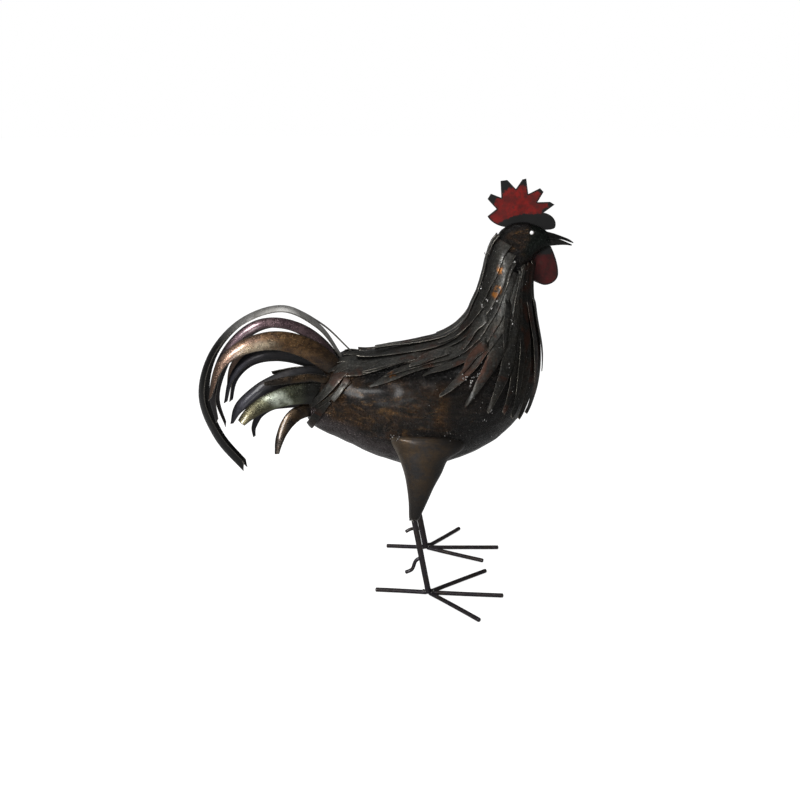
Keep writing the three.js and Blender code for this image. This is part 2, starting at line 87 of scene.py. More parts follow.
# Seams between the rows of strips: places as (hoop, share from back to belly), then the tip's hoop.
SEAMS = [
    (((12.4, 0.012), (8, 0.004), (1, 0.004)), None),
    (((12.4, 0.16), (9.7, 0.08), (7.8, 0.06), (6.2, 0.07), (4, 0.066), (2.2, 0.05), (1, 0.1)), 2.3),
    (((12.2, 0.4), (10.6, 0.32), (9.6, 0.233), (8.1, 0.165), (6.1, 0.135), (3.5, 0.15), (1, 0.2)), 1.6),
    (((11.8, 0.5), (10.4, 0.41), (9.4, 0.31), (7.4, 0.21), (4.9, 0.165), (3.4, 0.212), (1.5, 0.34)), 2),
    (((11.4, 0.53), (9.4, 0.36), (7.8, 0.285), (4.8, 0.24), (3.6, 0.27), (2.5, 0.345)), 2.8),
    (((11, 0.56), (9.4, 0.42), (8.1, 0.345), (6.2, 0.3), (4.7, 0.305), (4, 0.33)), 4.1),
    (((11, 0.59), (9.2, 0.45), (7.3, 0.36), (6.2, 0.37), (4.6, 0.44)), 4.7),
    (((11.2, 0.62), (9.4, 0.49), (7.8, 0.45), (6.5, 0.46), (5.4, 0.53)), 5.5),
    (((11.4, 0.64), (9, 0.53), (7.8, 0.54), (6.9, 0.57), (6, 0.63)), 6.2),
    (((11.5, 0.67), (9.4, 0.59), (8, 0.62), (6.6, 0.7)), 6.7),
    (((11.6, 0.73), (9.4, 0.67), (7.8, 0.72), (6.8, 0.78)), 6.9),
    (((11.8, 0.81), (9.4, 0.765), (7.8, 0.81), (7, 0.86)), 7.1),
    (((12, 0.9), (9.4, 0.87), (7.4, 0.93)), 7.4),
]
CAD_ROWS = 9
# How light each row's steel is, from fire-black (0) to bare grey (1), on the right side.
ROW_SHADES = [1.0, 0.55, 0.5, 0.34, 0.26, 0.3, 0.2, 0.22, 0.1, 0.12, 0.08, 0.1]

# Long strips that come out from under the rows and cover the back down to the tail.
BACK_STRIPS = [
    (((5.5, 0.02), (3.4, 0.022), (1.9, 0.05), (1.0, 0.09)), 14, 0.45),
    (((5.0, 0.07), (3.2, 0.085), (1.8, 0.13), (0.7, 0.19)), 14, 0.3),
    (((5.0, 0.13), (3.0, 0.14), (1.7, 0.2), (0.6, 0.28)), 14, 0.4),
    (((5.2, 0.17), (3.2, 0.175), (1.9, 0.24), (0.95, 0.33)), 13, 0.2),
    (((5.4, 0.22), (4.0, 0.225), (3.1, 0.27), (2.35, 0.345)), 12, 0.25),
]
# Short pieces laid over the rows: (hoop, share) at root, middle and tip, width, lift, shade.
OVERLAYS = [
    (((8.9, 0.19), (6.6, 0.12), (4.9, 0.12)), 9, 1.5, 0.5),
    (((8.6, 0.27), (7.2, 0.2), (6.1, 0.235)), 11, 1.6, 0.45),
    (((7.6, 0.33), (6.5, 0.3), (5.7, 0.335)), 10, 1.4, 0.25),
    (((5.6, 0.19), (4.5, 0.19), (3.6, 0.232)), 11, 1.2, 0.4),
    (((4.2, 0.17), (3.0, 0.19), (2.0, 0.26)), 10, -1.6, 0.3),
    (((9.9, 0.45), (8.9, 0.42), (8.0, 0.44)), 8, 1.5, 0.2),
    (((9.0, 0.58), (8.1, 0.6), (7.2, 0.66)), 9, 1.3, 0.1),
    (((10.4, 0.72), (9.3, 0.72), (8.2, 0.76)), 8, 1.5, 0.15),
    (((10.6, 0.86), (9.6, 0.86), (8.6, 0.88)), 8, 1.6, 0.2),
]

# Rump strips: (hoop, share) at root, middle and tip, widths at root and tip, shade. The first are in the solids.
RUMP_STRIPS = [
    (((1.2, 0.26), (0.95, 0.44), (0.5, 0.66)), (16, 5), 0.45),
    (((1.52, 0.32), (1.42, 0.41), (1.3, 0.5)), (7, 6), 1.0),
    (((1.15, 0.52), (0.97, 0.7), (0.9, 0.93)), (8, 9), 0.15),
    (((1.62, 0.33), (1.28, 0.46), (0.8, 0.63)), (5, 4), 0.05),
]
RUMP_SOLIDS = 3
RUMP_LIFT = 1.6
# How far overlays lie over the rows, and how deep their roots are tucked in.
OVERLAY_GAP, OVERLAY_DIVE = 0.8, 2.6

# Tail feathers: name, finish, y at root and tip, tilt at root and tip, then (x, z, width) stations.
TAIL_FEATHERS = [
    ("sickle_top_right", "grey", (7, 10.5), (80, 20),
     ((-40, 266, 6), (-51, 287, 8), (-74, 319, 12), (-114, 339.5, 15), (-163, 324, 14),
      (-200, 285, 12), (-214.5, 233, 12), (-198, 183, 13), (-166, 142, 10))),
    ("sickle_top_left", "grey", (7, 10.5), (80, 20),
     ((-21, 270, 6), (-39, 287, 7), (-72, 318, 12), (-114, 337, 15), (-163, 322, 15),
      (-200, 282, 12), (-213.5, 230, 11), (-200, 180, 10), (-166, 138, 5))),
    ("sickle_second_right", "purple", (15, 26), (12, 30),
     ((-46, 262, 10), (-63, 291, 11), (-84, 312, 12), (-110, 324, 12), (-139, 324, 12),
      (-166, 308, 11), (-187, 279, 10), (-198, 240, 9), (-194, 206, 4))),
    ("sickle_second_left", "purple", (15, 26), (12, 30),
     ((-46, 256, 10), (-63, 283.5, 11), (-84, 303, 12), (-110, 315, 12), (-139, 315, 12),
      (-166, 300, 11), (-188, 271, 9), (-203, 224, 6), (-194, 184, 3))),
    ("sickle_broad_right", "bronze", (17, 36), (8, 30),
     ((-42, 252, 22), (-62, 278, 24), (-88, 297, 24), (-122, 306, 22), (-158, 299, 17),
      (-186, 277, 11), (-200, 236, 3))),
    ("sickle_broad_left", "bronze", (17, 36), (8, 30),
     ((-42, 242, 22), (-60, 264, 23), (-90, 286, 23), (-124, 293, 20), (-156, 284, 15),
      (-182, 260, 10), (-192, 228, 3))),
    ("sickle_inner_right", "dark", (8, 20), (8, 30),
     ((-50, 254, 16), (-68, 273, 18), (-97, 286, 21), (-127, 290, 19), (-155, 282, 13),
      (-176, 259, 7), (-185, 228, 4))),
    ("sickle_inner_left", "dark", (8, 20), (8, 30),
     ((-50, 246, 15), (-68, 264, 17), (-97, 275, 18), (-127, 278, 15), (-157, 270, 11),
      (-178, 248, 6), (-186, 218, 4))),
    ("covert_upper_right", "dark", (15, 31), (8, 30),
     ((-60, 258, 18), (-83, 264, 19), (-108, 260, 20), (-130, 252, 19), (-150, 241, 16),
      (-168, 225, 12), (-177, 206, 3))),
    ("covert_upper_left", "dark", (15, 31), (8, 30),
     ((-60, 246, 18), (-82, 252, 19), (-104, 247, 19), (-126, 240, 17), (-145, 229, 14),
      (-160, 214, 10), (-168, 198, 4))),
    ("covert_broad_right", "green", (20.5, 48), (8, 28),
     ((-58, 238, 24), (-77, 243, 26), (-99, 243, 24), (-120, 239, 21), (-139, 232, 18),
      (-153, 223, 15), (-163, 213, 10))),
    ("covert_broad_left", "green", (20.5, 48), (8, 28),
     ((-58, 228, 23), (-77, 234, 25), (-97, 234, 23), (-116, 229, 19), (-134, 221, 14),
      (-149, 210, 10), (-156, 198, 5))),
    ("covert_short_right", "brown", (26, 40), (8, 25),
     ((-56, 256, 9), (-79, 263, 9), (-100, 262, 9), (-120, 260, 8), (-136, 258, 4))),
    ("covert_short_left", "brown", (26, 36), (8, 25),
     ((-56, 247, 12), (-79, 253, 12), (-102, 255, 11), (-125, 252, 8), (-137, 251, 4))),
    ("covert_lower_right", "brown", (12, 38), (8, 20),
     ((-70, 222, 15), (-88, 220, 16.5), (-101, 216, 16.5), (-111, 207, 15), (-118, 195, 12),
      (-122, 183, 9), (-124, 171, 5))),
    ("covert_lower_left", "dark", (12, 42), (8, 20),
     ((-66, 224, 15), (-95, 220, 15), (-120, 215, 12), (-137, 210, 10), (-153, 198, 9),
      (-162, 180, 6), (-163, 165, 3))),
]
FEATHER_SLOTS = {
    "sickle_top": "sickle_grey", "sickle_second": "sickle_purple", "sickle_broad": "feather_bronze",
    "covert_lower": "feather_bronze", "covert_broad": "feather_green",
}

# Thigh cones: z, rear x, front x, middle y, half depth.
THIGH = [
    (99, 33.6, 43.4, 57, 5.6),
    (118, 33, 51.5, 56.5, 8.3),
    (138, 30.6, 60, 55, 11.5),
    (154, 27.5, 68.5, 53, 14.5),
    (172, 21.5, 77, 50.5, 17.5),
    (183, 16, 93, 48.5, 18.8),
    (191, 12, 95, 48, 18.6),
    (197.5, 11, 88, 47.5, 16.8),
    (201, 13, 82, 46, 12.5),
]
SHANK_RADIUS = {RIGHT: 3.5, LEFT: 3.9}
SHANK_TOP, SHANK_FOOT = (36.2, 56.6, 104), (55.6, 61, 1.2)
TOE_RADIUS = 2.6
FEET = {
    RIGHT: {"back": (174, 65), "inner": (37, 93), "middle": (-5, 90), "outer": (-49, 86)},
    LEFT: {"back": (175, 53), "inner": (-28, 83), "middle": (0, 97), "outer": (51, 77)},
}
SPUR_RADIUS = 2.2
SPURS = {
    RIGHT: ((48, 57.6, 48), (40, 57.6, 43), (35.5, 57.8, 32), (27, 58, 27.5)),
    LEFT: ((50, 59, 34), (44, 59, 30.5), (36, 58.5, 30.5), (28, 58, 26.5)),
}

# Beak halves: x, flat edge z, crown z, half width.
UPPER_BEAK = [
    (182, 419.3, 428.5, 5.6), (190, 419.3, 426.5, 5.4), (197, 418.9, 424.6, 4.6),
    (205, 418.2, 421.8, 3.5), (213, 415.6, 418.6, 2.2), (218.6, 413.8, 415, 0.8),
]
LOWER_BEAK = [
    (182, 418.9, 410.4, 5), (192, 418.9, 410.8, 4.8), (198, 418.3, 411.3, 4),
    (205, 417.3, 411.8, 3.1), (212, 414.5, 411.6, 2), (217, 412.4, 410.9, 0.8),
]
# The share of a beak half's girth that is its round back.
BEAK_ROUND = 0.78
EYE_X, EYE_Z, EYE_RADIUS = 169.0, 427.0, 2.9
EYE_DISC_RADIUS, EYE_DISC_DEPTH, EYE_DRILL_LENGTH = 2.15, 1.1, 60

# Weld spots on the shell: hoop, share, bead radius.
WELD_SPOTS = [
    (5.73, 0.35, 1.7), (5.96, 0.401, 1.9), (6.37, 0.385, 1.5), (6.1, 0.387, 1.6), (5.85, 0.372, 1.2),
    (7.79, 0.517, 1.2), (6.31, 0.588, 1.4), (6.03, 0.605, 1.2), (8.89, 0.29, 1.2), (9.16, 0.466, 1.3),
    (9.42, 0.331, 1.4), (9.03, 0.223, 1.6), (8.49, 0.188, 1.5), (8.05, 0.18, 1.4), (7.3, 0.133, 1.6),
    (7.1, 0.133, 1.3), (9.3, 0.117, 1.3), (11.1, 0.347, 1.3), (11.43, 0.5, 1.2), (10.96, 0.046, 1.2),
]


# ---- shape helpers -------------------------------------------------------------------------

def on_curve(rows, t):
    """The place at t (0 to 1) on a smooth curve through rows of numbers."""
    last = len(rows) - 1
    place = min(max(t, 0.0), 1.0) * last
    i = min(int(place), last - 1)
    w = place - i
    before = rows[i - 1] if i else [2 * a - b for a, b in zip(rows[0], rows[1])]
    after = rows[i + 2] if i + 2 <= last else [2 * a - b for a, b in zip(rows[last], rows[last - 1])]
    out = []
    for a, b, c, d in zip(before, rows[i], rows[i + 1], after):
        leave, reach = (c - a) / 2, (d - b) / 2
        out.append(b + leave * w + (3 * (c - b) - 2 * leave - reach) * w * w
                   + (2 * (b - c) + leave + reach) * w ** 3)
    return out


def mix(a, b, t):
    return a + (b - a) * t


def smooth_step(low, high, value):
    t = min(max((value - low) / (high - low), 0.0), 1.0)
    return t * t * (3 - 2 * t)


def bare_point(hoop, share, side):
    """The place on the undented shell at a hoop and a share of the way from back to belly."""
    back_x, back_z, belly_x, belly_z, half = on_curve(HOOPS, hoop / LAST_HOOP)
    middle = Vector(((back_x + belly_x) / 2, 0, (back_z + belly_z) / 2))
    angle = share * math.pi
    spoke = Vector((back_x, 0, back_z)) - middle
    return middle + spoke * math.cos(angle) + Vector((0, side * half * math.sin(angle), 0))


def shell_normal(hoop, share, side):
    """The outward direction there."""
    step = 1e-2
    along = bare_point(min(hoop + step, LAST_HOOP), share, side) - bare_point(max(hoop - step, 0), share, side)
    around = bare_point(hoop, share + step, side) - bare_point(hoop, share - step, side)
    return (along.cross(around) * side).normalized()


def shell_point(hoop, share, height, side):
    """The place at a height over the undented shell."""
    return bare_point(hoop, share, side) + shell_normal(hoop, share, side) * height


def share_length(hoop, share):
    """Millimetres along the hoop for one whole share."""
    step = 1e-3
    return (bare_point(hoop, share + step, LEFT) - bare_point(hoop, share - step, LEFT)).length / (2 * step)


def hoop_length(hoop, share):
    """Millimetres along the shell from one hoop to the next."""
    step = 1e-2
    return (bare_point(hoop + step, share, LEFT) - bare_point(hoop - step, share, LEFT)).length / (2 * step)


def seam_share(seam, hoop):
    """The share of a seam at a hoop, on a smooth curve through its unevenly spaced places."""
    points = sorted(seam)
    last = len(points) - 1
    i = 0
    while i < last - 1 and points[i + 1][0] <= hoop:
        i += 1

    def slope(k):
        before, after = points[max(k - 1, 0)], points[min(k + 1, last)]
        return (after[1] - before[1]) / (after[0] - before[0])

    span = points[i + 1][0] - points[i][0]
    t = min(max((hoop - points[i][0]) / span, 0.0), 1.0)
    return ((2 * t ** 3 - 3 * t * t + 1) * points[i][1] + (t ** 3 - 2 * t * t + t) * span * slope(i)
            + (3 * t * t - 2 * t ** 3) * points[i + 1][1] + (t ** 3 - t * t) * span * slope(i + 1))


def wobble(point, scale, seed=0.0):
    """Smooth noise from -1 to 1 at a place in millimetres."""
    return noise.noise(Vector(point) / scale + Vector((seed, seed * 1.7, -seed)))


# ---- mesh helpers --------------------------------------------------------------------------

def smooth_faces(bm):
    for face in bm.faces:
        face.smooth = True


def new_object(name, bm, material=None):
    mesh = bpy.data.meshes.new(name)
    bm.to_mesh(mesh)
    bm.free()
    if material:
        mesh.materials.append(material)
    obj = bpy.data.objects.new(name, mesh)
    bpy.context.scene.collection.objects.link(obj)
    return obj


def finish_piece(obj, slot, *nodes):
    """Hangs a piece on the one body and hides the solids that it replaces; its slot is not used."""
    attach(obj, "root")
    if nodes:
        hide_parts(*nodes)
    return obj


def sheet_mesh(columns, rows, place, merge=False, outwards=True):
    """A bmesh grid laid where place(u, v) says; place also gives the edge distance and shade."""
    bm = bmesh.new()
    bm.loops.layers.uv.new("lay")
    edge = bm.verts.layers.float.new("edge")
    shade = bm.verts.layers.float.new("shade")
    bmesh.ops.create_grid(bm, x_segments=columns, y_segments=rows, size=0.5, calc_uvs=True)
    for vert in bm.verts:
        position, edge_mm, tone = place(vert.co.x + 0.5, vert.co.y + 0.5)
        vert.co = position * MM
        vert[edge] = edge_mm
        vert[shade] = tone
    if merge:
        bmesh.ops.remove_doubles(bm, verts=bm.verts[:], dist=1e-6)
        bmesh.ops.recalc_face_normals(bm, faces=bm.faces[:])
    elif not outwards:
        bmesh.ops.reverse_faces(bm, faces=bm.faces[:])
    smooth_faces(bm)
    return bm


def round_edges(obj, name, width, degrees):
    bevel = obj.modifiers.new(name, "BEVEL")
    bevel.width = width * MM
    bevel.segments = 2
    bevel.limit_method = "ANGLE"
    bevel.angle_limit = math.radians(degrees)


def thicken(obj, thickness, edge_round, inwards=1.0):
    """Gives a sheet its thickness; inwards is 1 below the surface and 0 on both sides of it."""
    solid = obj.modifiers.new("sheet thickness", "SOLIDIFY")
    solid.thickness = thickness * MM
    solid.offset = -inwards
    solid.use_even_offset = False
    round_edges(obj, "filed edges", edge_round, 50)


def apply_modifiers(obj):
    """Bakes the modifiers of a piece into its mesh."""
    bpy.context.view_layer.update()
    evaluated = obj.evaluated_get(bpy.context.evaluated_depsgraph_get())
    mesh = bpy.data.meshes.new_from_object(evaluated, depsgraph=bpy.context.evaluated_depsgraph_get())
    obj.modifiers.clear()
    obj.data = mesh


def tube_mesh(centre, radius, rows, sides):
    """A closed round bar; centre(t) in millimetres, radius(t, angle) shrinks to nothing at the ends."""
    def place(t, v):
        step = 1e-3
        here = Vector(centre(t))
        along = (Vector(centre(min(t + step, 1))) - Vector(centre(max(t - step, 0)))).normalized()
        helper = Vector((0, 1, 0)) if abs(along.y) < 0.8 else Vector((1, 0, 0))
        first = along.cross(helper).normalized()
        second = along.cross(first)
        angle = v * 2 * math.pi
        spoke = first * math.cos(angle) + second * math.sin(angle)
        return here + spoke * radius(t, angle), FAR_FROM_EDGE, MIDDLE_TONE
    return sheet_mesh(rows, sides, place, merge=True)


def round_end(reach):
    """The girth of a bar's rounded end, from 0 at the end to 1 where reach is 1."""
    return math.sqrt(max(0.0, 1 - (1 - min(reach, 1.0)) ** 2))


def bar(name, start, end, radius, material, rows=26, sides=20, bow=0.0, seed=0.0):
    """A piece of round bar with softly ground ends and the slight unevenness of hand work."""
    start, end = Vector(start), Vector(end)
    length = (end - start).length
    sideways = (end - start).cross(Vector((0, 0, 1))).normalized()
    round_share = radius / length

    def end_spread(t):
        """Crowds the rows towards both ends, where the bar rounds off."""
        return mix(t, 0.5 - 0.5 * math.cos(t * math.pi), 0.9)

    def centre(t):
        t = end_spread(t)
        return start.lerp(end, t) + sideways * (bow * math.sin(t * math.pi))

    def girth(t, angle):
        t = end_spread(t)
        dome = round_end(min(t, 1 - t) / round_share / 0.45)
        uneven = 1 + 0.035 * wobble((t * length, angle * 3, 0), 14, seed)
        return radius * dome * uneven

    return new_object(name, tube_mesh(centre, girth, rows, sides), material)


# ---- shader helpers ------------------------------------------------------------------------

def group_tree(name, inputs, outputs):
    tree = bpy.data.node_groups.new(name, "ShaderNodeTree")
    for label, kind, value in inputs:
        socket = tree.interface.new_socket(label, in_out="INPUT", socket_type="NodeSocket" + kind)
        if value is not None:
            socket.default_value = value
    for label, kind in outputs:
        tree.interface.new_socket(label, in_out="OUTPUT", socket_type="NodeSocket" + kind)
    return tree, tree.nodes.new("NodeGroupInput"), tree.nodes.new("NodeGroupOutput")


class Wiring:
    """Adds nodes to one tree and joins them."""

    def __init__(self, tree):
        self.tree = tree

    def put(self, socket, value):
        if isinstance(value, bpy.types.NodeSocket):
            self.tree.links.new(value, socket)
        elif value is not None:
            socket.default_value = value

    def math(self, operation, a, b=None, c=None, clamp=False):
        node = self.tree.nodes.new("ShaderNodeMath")
        node.operation = operation
        node.use_clamp = clamp
        for socket, value in zip(node.inputs, (a, b, c)):
            self.put(socket, value)
        return node.outputs[0]

    def ramp(self, value, low, high, start=0.0, end=1.0):
        node = self.tree.nodes.new("ShaderNodeMapRange")
        node.interpolation_type = "SMOOTHSTEP"
        for label, item in (("Value", value), ("From Min", low), ("From Max", high),
                            ("To Min", start), ("To Max", end)):
            self.put(node.inputs[label], item)
        return node.outputs[0]

    def blend(self, mask, a, b):
        node = self.tree.nodes.new("ShaderNodeMix")
        node.data_type = "RGBA"
        for socket, item in ((node.inputs[0], mask), (node.inputs[6], a), (node.inputs[7], b)):
            self.put(socket, item)
        return node.outputs[2]

    def noise(self, vector, scale, detail=2.0, rough=0.5, twist=0.0):
        node = self.tree.nodes.new("ShaderNodeTexNoise")
        for label, item in (("Vector", vector), ("Scale", scale), ("Detail", detail),
                            ("Roughness", rough), ("Distortion", twist)):
            self.put(node.inputs[label], item)
        return node.outputs["Fac"]

    def cells(self, vector, scale):
        node = self.tree.nodes.new("ShaderNodeTexVoronoi")
        node.feature = "SMOOTH_F1"
        self.put(node.inputs["Vector"], vector)
        self.put(node.inputs["Scale"], scale)
        return node.outputs["Distance"]

    def stretch(self, vector, scale, turn=(0, 0, 0), shift=(0, 0, 0)):
        node = self.tree.nodes.new("ShaderNodeMapping")
        self.put(node.inputs["Vector"], vector)
        node.inputs["Scale"].default_value = scale
        node.inputs["Rotation"].default_value = turn
        node.inputs["Location"].default_value = shift
        return node.outputs[0]

    def bump(self, height, strength, distance):
        node = self.tree.nodes.new("ShaderNodeBump")
        node.inputs["Strength"].default_value = strength
        node.inputs["Distance"].default_value = distance
        self.put(node.inputs["Height"], height)
        return node.outputs[0]

    def attribute(self, name):
        node = self.tree.nodes.new("ShaderNodeAttribute")
        node.attribute_name = name
        return node.outputs["Fac"]

    def along(self):
        """How far along the sheet, from root 0 to tip 1."""
        node = self.tree.nodes.new("ShaderNodeUVMap")
        node.uv_map = "lay"
        split = self.tree.nodes.new("ShaderNodeSeparateXYZ")
        self.put(split.inputs[0], node.outputs[0])
        return split.outputs[0]

    def group(self, tree, **values):
        node = self.tree.nodes.new("ShaderNodeGroup")
        node.node_tree = tree
        for label, value in values.items():
            self.put(node.inputs[label.replace("_", " ")], value)
        return node.outputs


def shared(name, build):
    """The node group of that name, built the first time it is asked for."""
    return bpy.data.node_groups.get(name) or build(name)


def build_heat_tint(name):
    """Torch colours on steel: two tints in drifting patches, streaks of a third and fine mottling."""
    tree, given, result = group_tree(name, [
        ("Vector", "Vector", None), ("Scale", "Float", 30.0), ("Seed", "Float", 0.0),
        ("Tint A", "Color", (0.1, 0.06, 0.03, 1)), ("Tint B", "Color", (0.05, 0.04, 0.04, 1)),
        ("Streak", "Color", (0.2, 0.15, 0.1, 1)), ("Streaks", "Float", 0.3),
    ], [("Color", "Color")])
    w = Wiring(tree)
    shift = tree.nodes.new("ShaderNodeVectorMath")
    shift.operation = "ADD"
    w.put(shift.inputs[0], given.outputs["Vector"])
    w.put(shift.inputs[1], given.outputs["Seed"])
    place = shift.outputs[0]
    drift = w.noise(place, given.outputs["Scale"], 4.0, 0.6, 0.8)
    mottle = w.noise(place, w.math("MULTIPLY", given.outputs["Scale"], 7.0), 3.0, 0.7)
    patches = w.ramp(w.math("ADD", drift, w.math("MULTIPLY", mottle, 0.25)), 0.5, 0.78)
    base = w.blend(patches, given.outputs["Tint A"], given.outputs["Tint B"])
    fine = w.math("MULTIPLY", given.outputs["Scale"], 2.6)
    flow = w.noise(w.stretch(place, (0.35, 1.0, 2.2)), fine, 5.0, 0.65, 1.5)
    streaks = w.math("MULTIPLY", w.ramp(flow, 0.52, 0.72), given.outputs["Streaks"])
    w.put(result.inputs["Color"], w.blend(streaks, base, given.outputs["Streak"]))
    return tree


def build_edge_wear(name):
    """A mask that is 1 on filed edges and frays inwards; Edge is the distance in millimetres."""
    tree, given, result = group_tree(name, [
        ("Vector", "Vector", None), ("Edge", "Float", 5.0), ("Width", "Float", 0.8),
    ], [("Mask", "Float")])
    w = Wiring(tree)
    ragged = w.noise(given.outputs["Vector"], 420.0, 3.0, 0.7)
    reach = w.math("MULTIPLY", given.outputs["Width"], w.math("MULTIPLY_ADD", ragged, 2.4, -0.35))
    w.put(result.inputs["Mask"], w.ramp(w.math("DIVIDE", given.outputs["Edge"], w.math("MAXIMUM", reach, 0.02)),
                                        1.0, 0.55, 0.0, 1.0))
    return tree


def build_sheet_relief(name):
    """Height of hammered dents, rolling grain and fine pitting."""
    tree, given, result = group_tree(name, [
        ("Vector", "Vector", None), ("Dents", "Float", 60.0), ("Pits", "Float", 0.3),
    ], [("Height", "Float"), ("Grime", "Float")])
    w = Wiring(tree)
    dents = w.noise(given.outputs["Vector"], given.outputs["Dents"], 2.0, 0.5, 0.4)
    facets = w.cells(given.outputs["Vector"], w.math("MULTIPLY", given.outputs["Dents"], 1.6))
    pits = w.ramp(w.noise(given.outputs["Vector"], 900.0, 3.0, 0.75), 0.5, 0.75)
    height = w.math("ADD", w.math("MULTIPLY", dents, 0.8), w.math("MULTIPLY", facets, 0.35))
    w.put(result.inputs["Height"], w.math("SUBTRACT", height, w.math("MULTIPLY", pits, given.outputs["Pits"])))
    w.put(result.inputs["Grime"], w.ramp(w.noise(given.outputs["Vector"], 160.0, 5.0, 0.75, 0.6), 0.42, 0.66))
    return tree


def start_material(name):
    """A new material, its wiring, its shader and the object coordinates."""
    material = bpy.data.materials.new(name)
    material.use_nodes = True
    tree = material.node_tree
    shader = tree.nodes["Principled BSDF"]
    place = tree.nodes.new("ShaderNodeTexCoord").outputs["Object"]
    return material, Wiring(tree), shader, place


def heat_tint(w, place, scale, seed, first, second, streak, amount):
    return w.group(shared("heat tint", build_heat_tint), Vector=place, Scale=scale, Seed=seed, Tint_A=(*first, 1),
                   Tint_B=(*second, 1), Streak=(*streak, 1), Streaks=amount)["Color"]


def sheet_relief(w, place, dents, pits):
    return w.group(shared("sheet relief", build_sheet_relief), Vector=place, Dents=dents, Pits=pits)


def edge_wear(w, place, edge, width):
    return w.group(shared("edge wear", build_edge_wear), Vector=place, Edge=edge, Width=width)["Mask"]


def surface(w, shader, colour, rough, normal=None):
    """Joins the three made-up channels of a surface to its shader."""
    for label, value in (("Base Color", colour), ("Roughness", rough), ("Normal", normal)):
        w.put(shader.inputs[label], value)


def lacquer(shader, metallic, coat, coat_roughness=0.08):
    """Metal and clear coat, as plain values."""
    shader.inputs["Metallic"].default_value = metallic
    shader.inputs["Coat Weight"].default_value = coat
    shader.inputs["Coat Roughness"].default_value = coat_roughness


def grey(value, warmth=0.0):
    """A grey that leans to red with warmth."""
    return (value * (1 + warmth), value, value * (1 - warmth), 1)


def body_material(colours):
    """Brown torched sheet: blue-grey and black smoke, a pale belly that is partly grey tint and partly painted
    reflection of the floor, green-black face.
    """
    material, w, shader, place = start_material("torched body sheet")
    tint = heat_tint(w, place, 26.0, 0.4, colours.body_brown, colours.body_dark, colours.body_gold, 0.55)
    relief = sheet_relief(w, place, 46.0, 0.25)
    flow = w.stretch(place, (0.45, 1.0, 1.3), turn=(0, 0.35, 0))
    wrinkles = w.math("ABSOLUTE", w.math("SUBTRACT", w.noise(flow, 130.0, 6.0, 0.68, 1.1), 0.5))
    burns = w.noise(flow, 34.0, 6.0, 0.72, 1.2)
    tint = w.blend(w.ramp(burns, 0.47, 0.62), tint, grey(0.016, 0.1))
    tint = w.blend(w.ramp(w.noise(flow, 70.0, 5.0, 0.7, 1.0), 0.56, 0.68, 0, 0.7), tint, (*colours.body_gold, 1))
    # The rear belly's pale purple grey is partly the sheet's tint and partly a painted reflection of the pale floor.
    colour = w.blend(w.attribute("belly"), tint, (*colours.belly_grey_and_floor_sheen, 1))
    colour = w.blend(w.math("MULTIPLY", relief["Grime"], 0.55), colour, grey(0.008, 0.15))
    colour = w.blend(w.attribute("smoke"), colour, grey(0.011, 0.05))
    colour = w.blend(w.attribute("face"), colour, (0.008, 0.011, 0.009, 1))
    height = w.math("MULTIPLY_ADD", wrinkles, -3.2, relief["Height"])
    surface(w, shader, colour, w.math("MULTIPLY_ADD", relief["Grime"], 0.26, 0.2), w.bump(height, 0.75, 0.0016))
    lacquer(shader, 0.88, 0.1, 0.2)
    return material


def strip_material(colours):
    """Fire-black strips that go to grey by their shade, with filed bright edges and amber burns."""
    material, w, shader, place = start_material("fire-blackened strips")
    shade = w.attribute("shade")
    tint = heat_tint(w, place, 55.0, 3.1, colours.strip_black, colours.strip_brown, colours.strip_grey, 0.3)
    colour = w.blend(w.math("MULTIPLY", shade, 0.8), tint, (*colours.strip_grey, 1))
    relief = sheet_relief(w, place, 70.0, 0.5)
    colour = w.blend(w.math("MULTIPLY", relief["Grime"], 0.5), colour, grey(0.007))
    mottle = w.ramp(w.noise(place, 520.0, 3.0, 0.7), 0.4, 0.7, -0.25, 1.0)
    colour = w.blend(w.math("MULTIPLY", mottle, w.math("MULTIPLY_ADD", shade, 0.5, 0.12), clamp=True), colour,
                     grey(0.14, 0.03))
    rust = w.ramp(w.noise(w.stretch(place, (1, 1, 1), shift=(0.31, 0, 0.2)), 24.0, 4.0, 0.7, 0.7), 0.53, 0.66)
    colour = w.blend(w.math("MULTIPLY", rust, 0.65), colour, (*colours.strip_rust, 1))
    amber = w.attribute("amber")
    colour = w.blend(w.math("MULTIPLY", amber, w.ramp(w.noise(place, 240.0, 4.0, 0.7), 0.42, 0.56)), colour,
                     (*colours.amber, 1))
    wear = edge_wear(w, place, w.attribute("edge"), 0.5)
    filed = w.ramp(w.noise(place, 33.0, 2.0), 0.45, 0.62, 0.12, 0.75)
    colour = w.blend(w.math("MULTIPLY", wear, filed), colour, (*colours.filed_edge, 1))
    rough = w.math("MULTIPLY_ADD", wear, -0.1, w.math("MULTIPLY_ADD", relief["Grime"], 0.25, 0.34))
    surface(w, shader, colour, rough, w.bump(relief["Height"], 0.5, 0.0008))
    shader.inputs["Specular IOR Level"].default_value = 0.3
    lacquer(shader, 0.9, 0.06, 0.2)
    return material


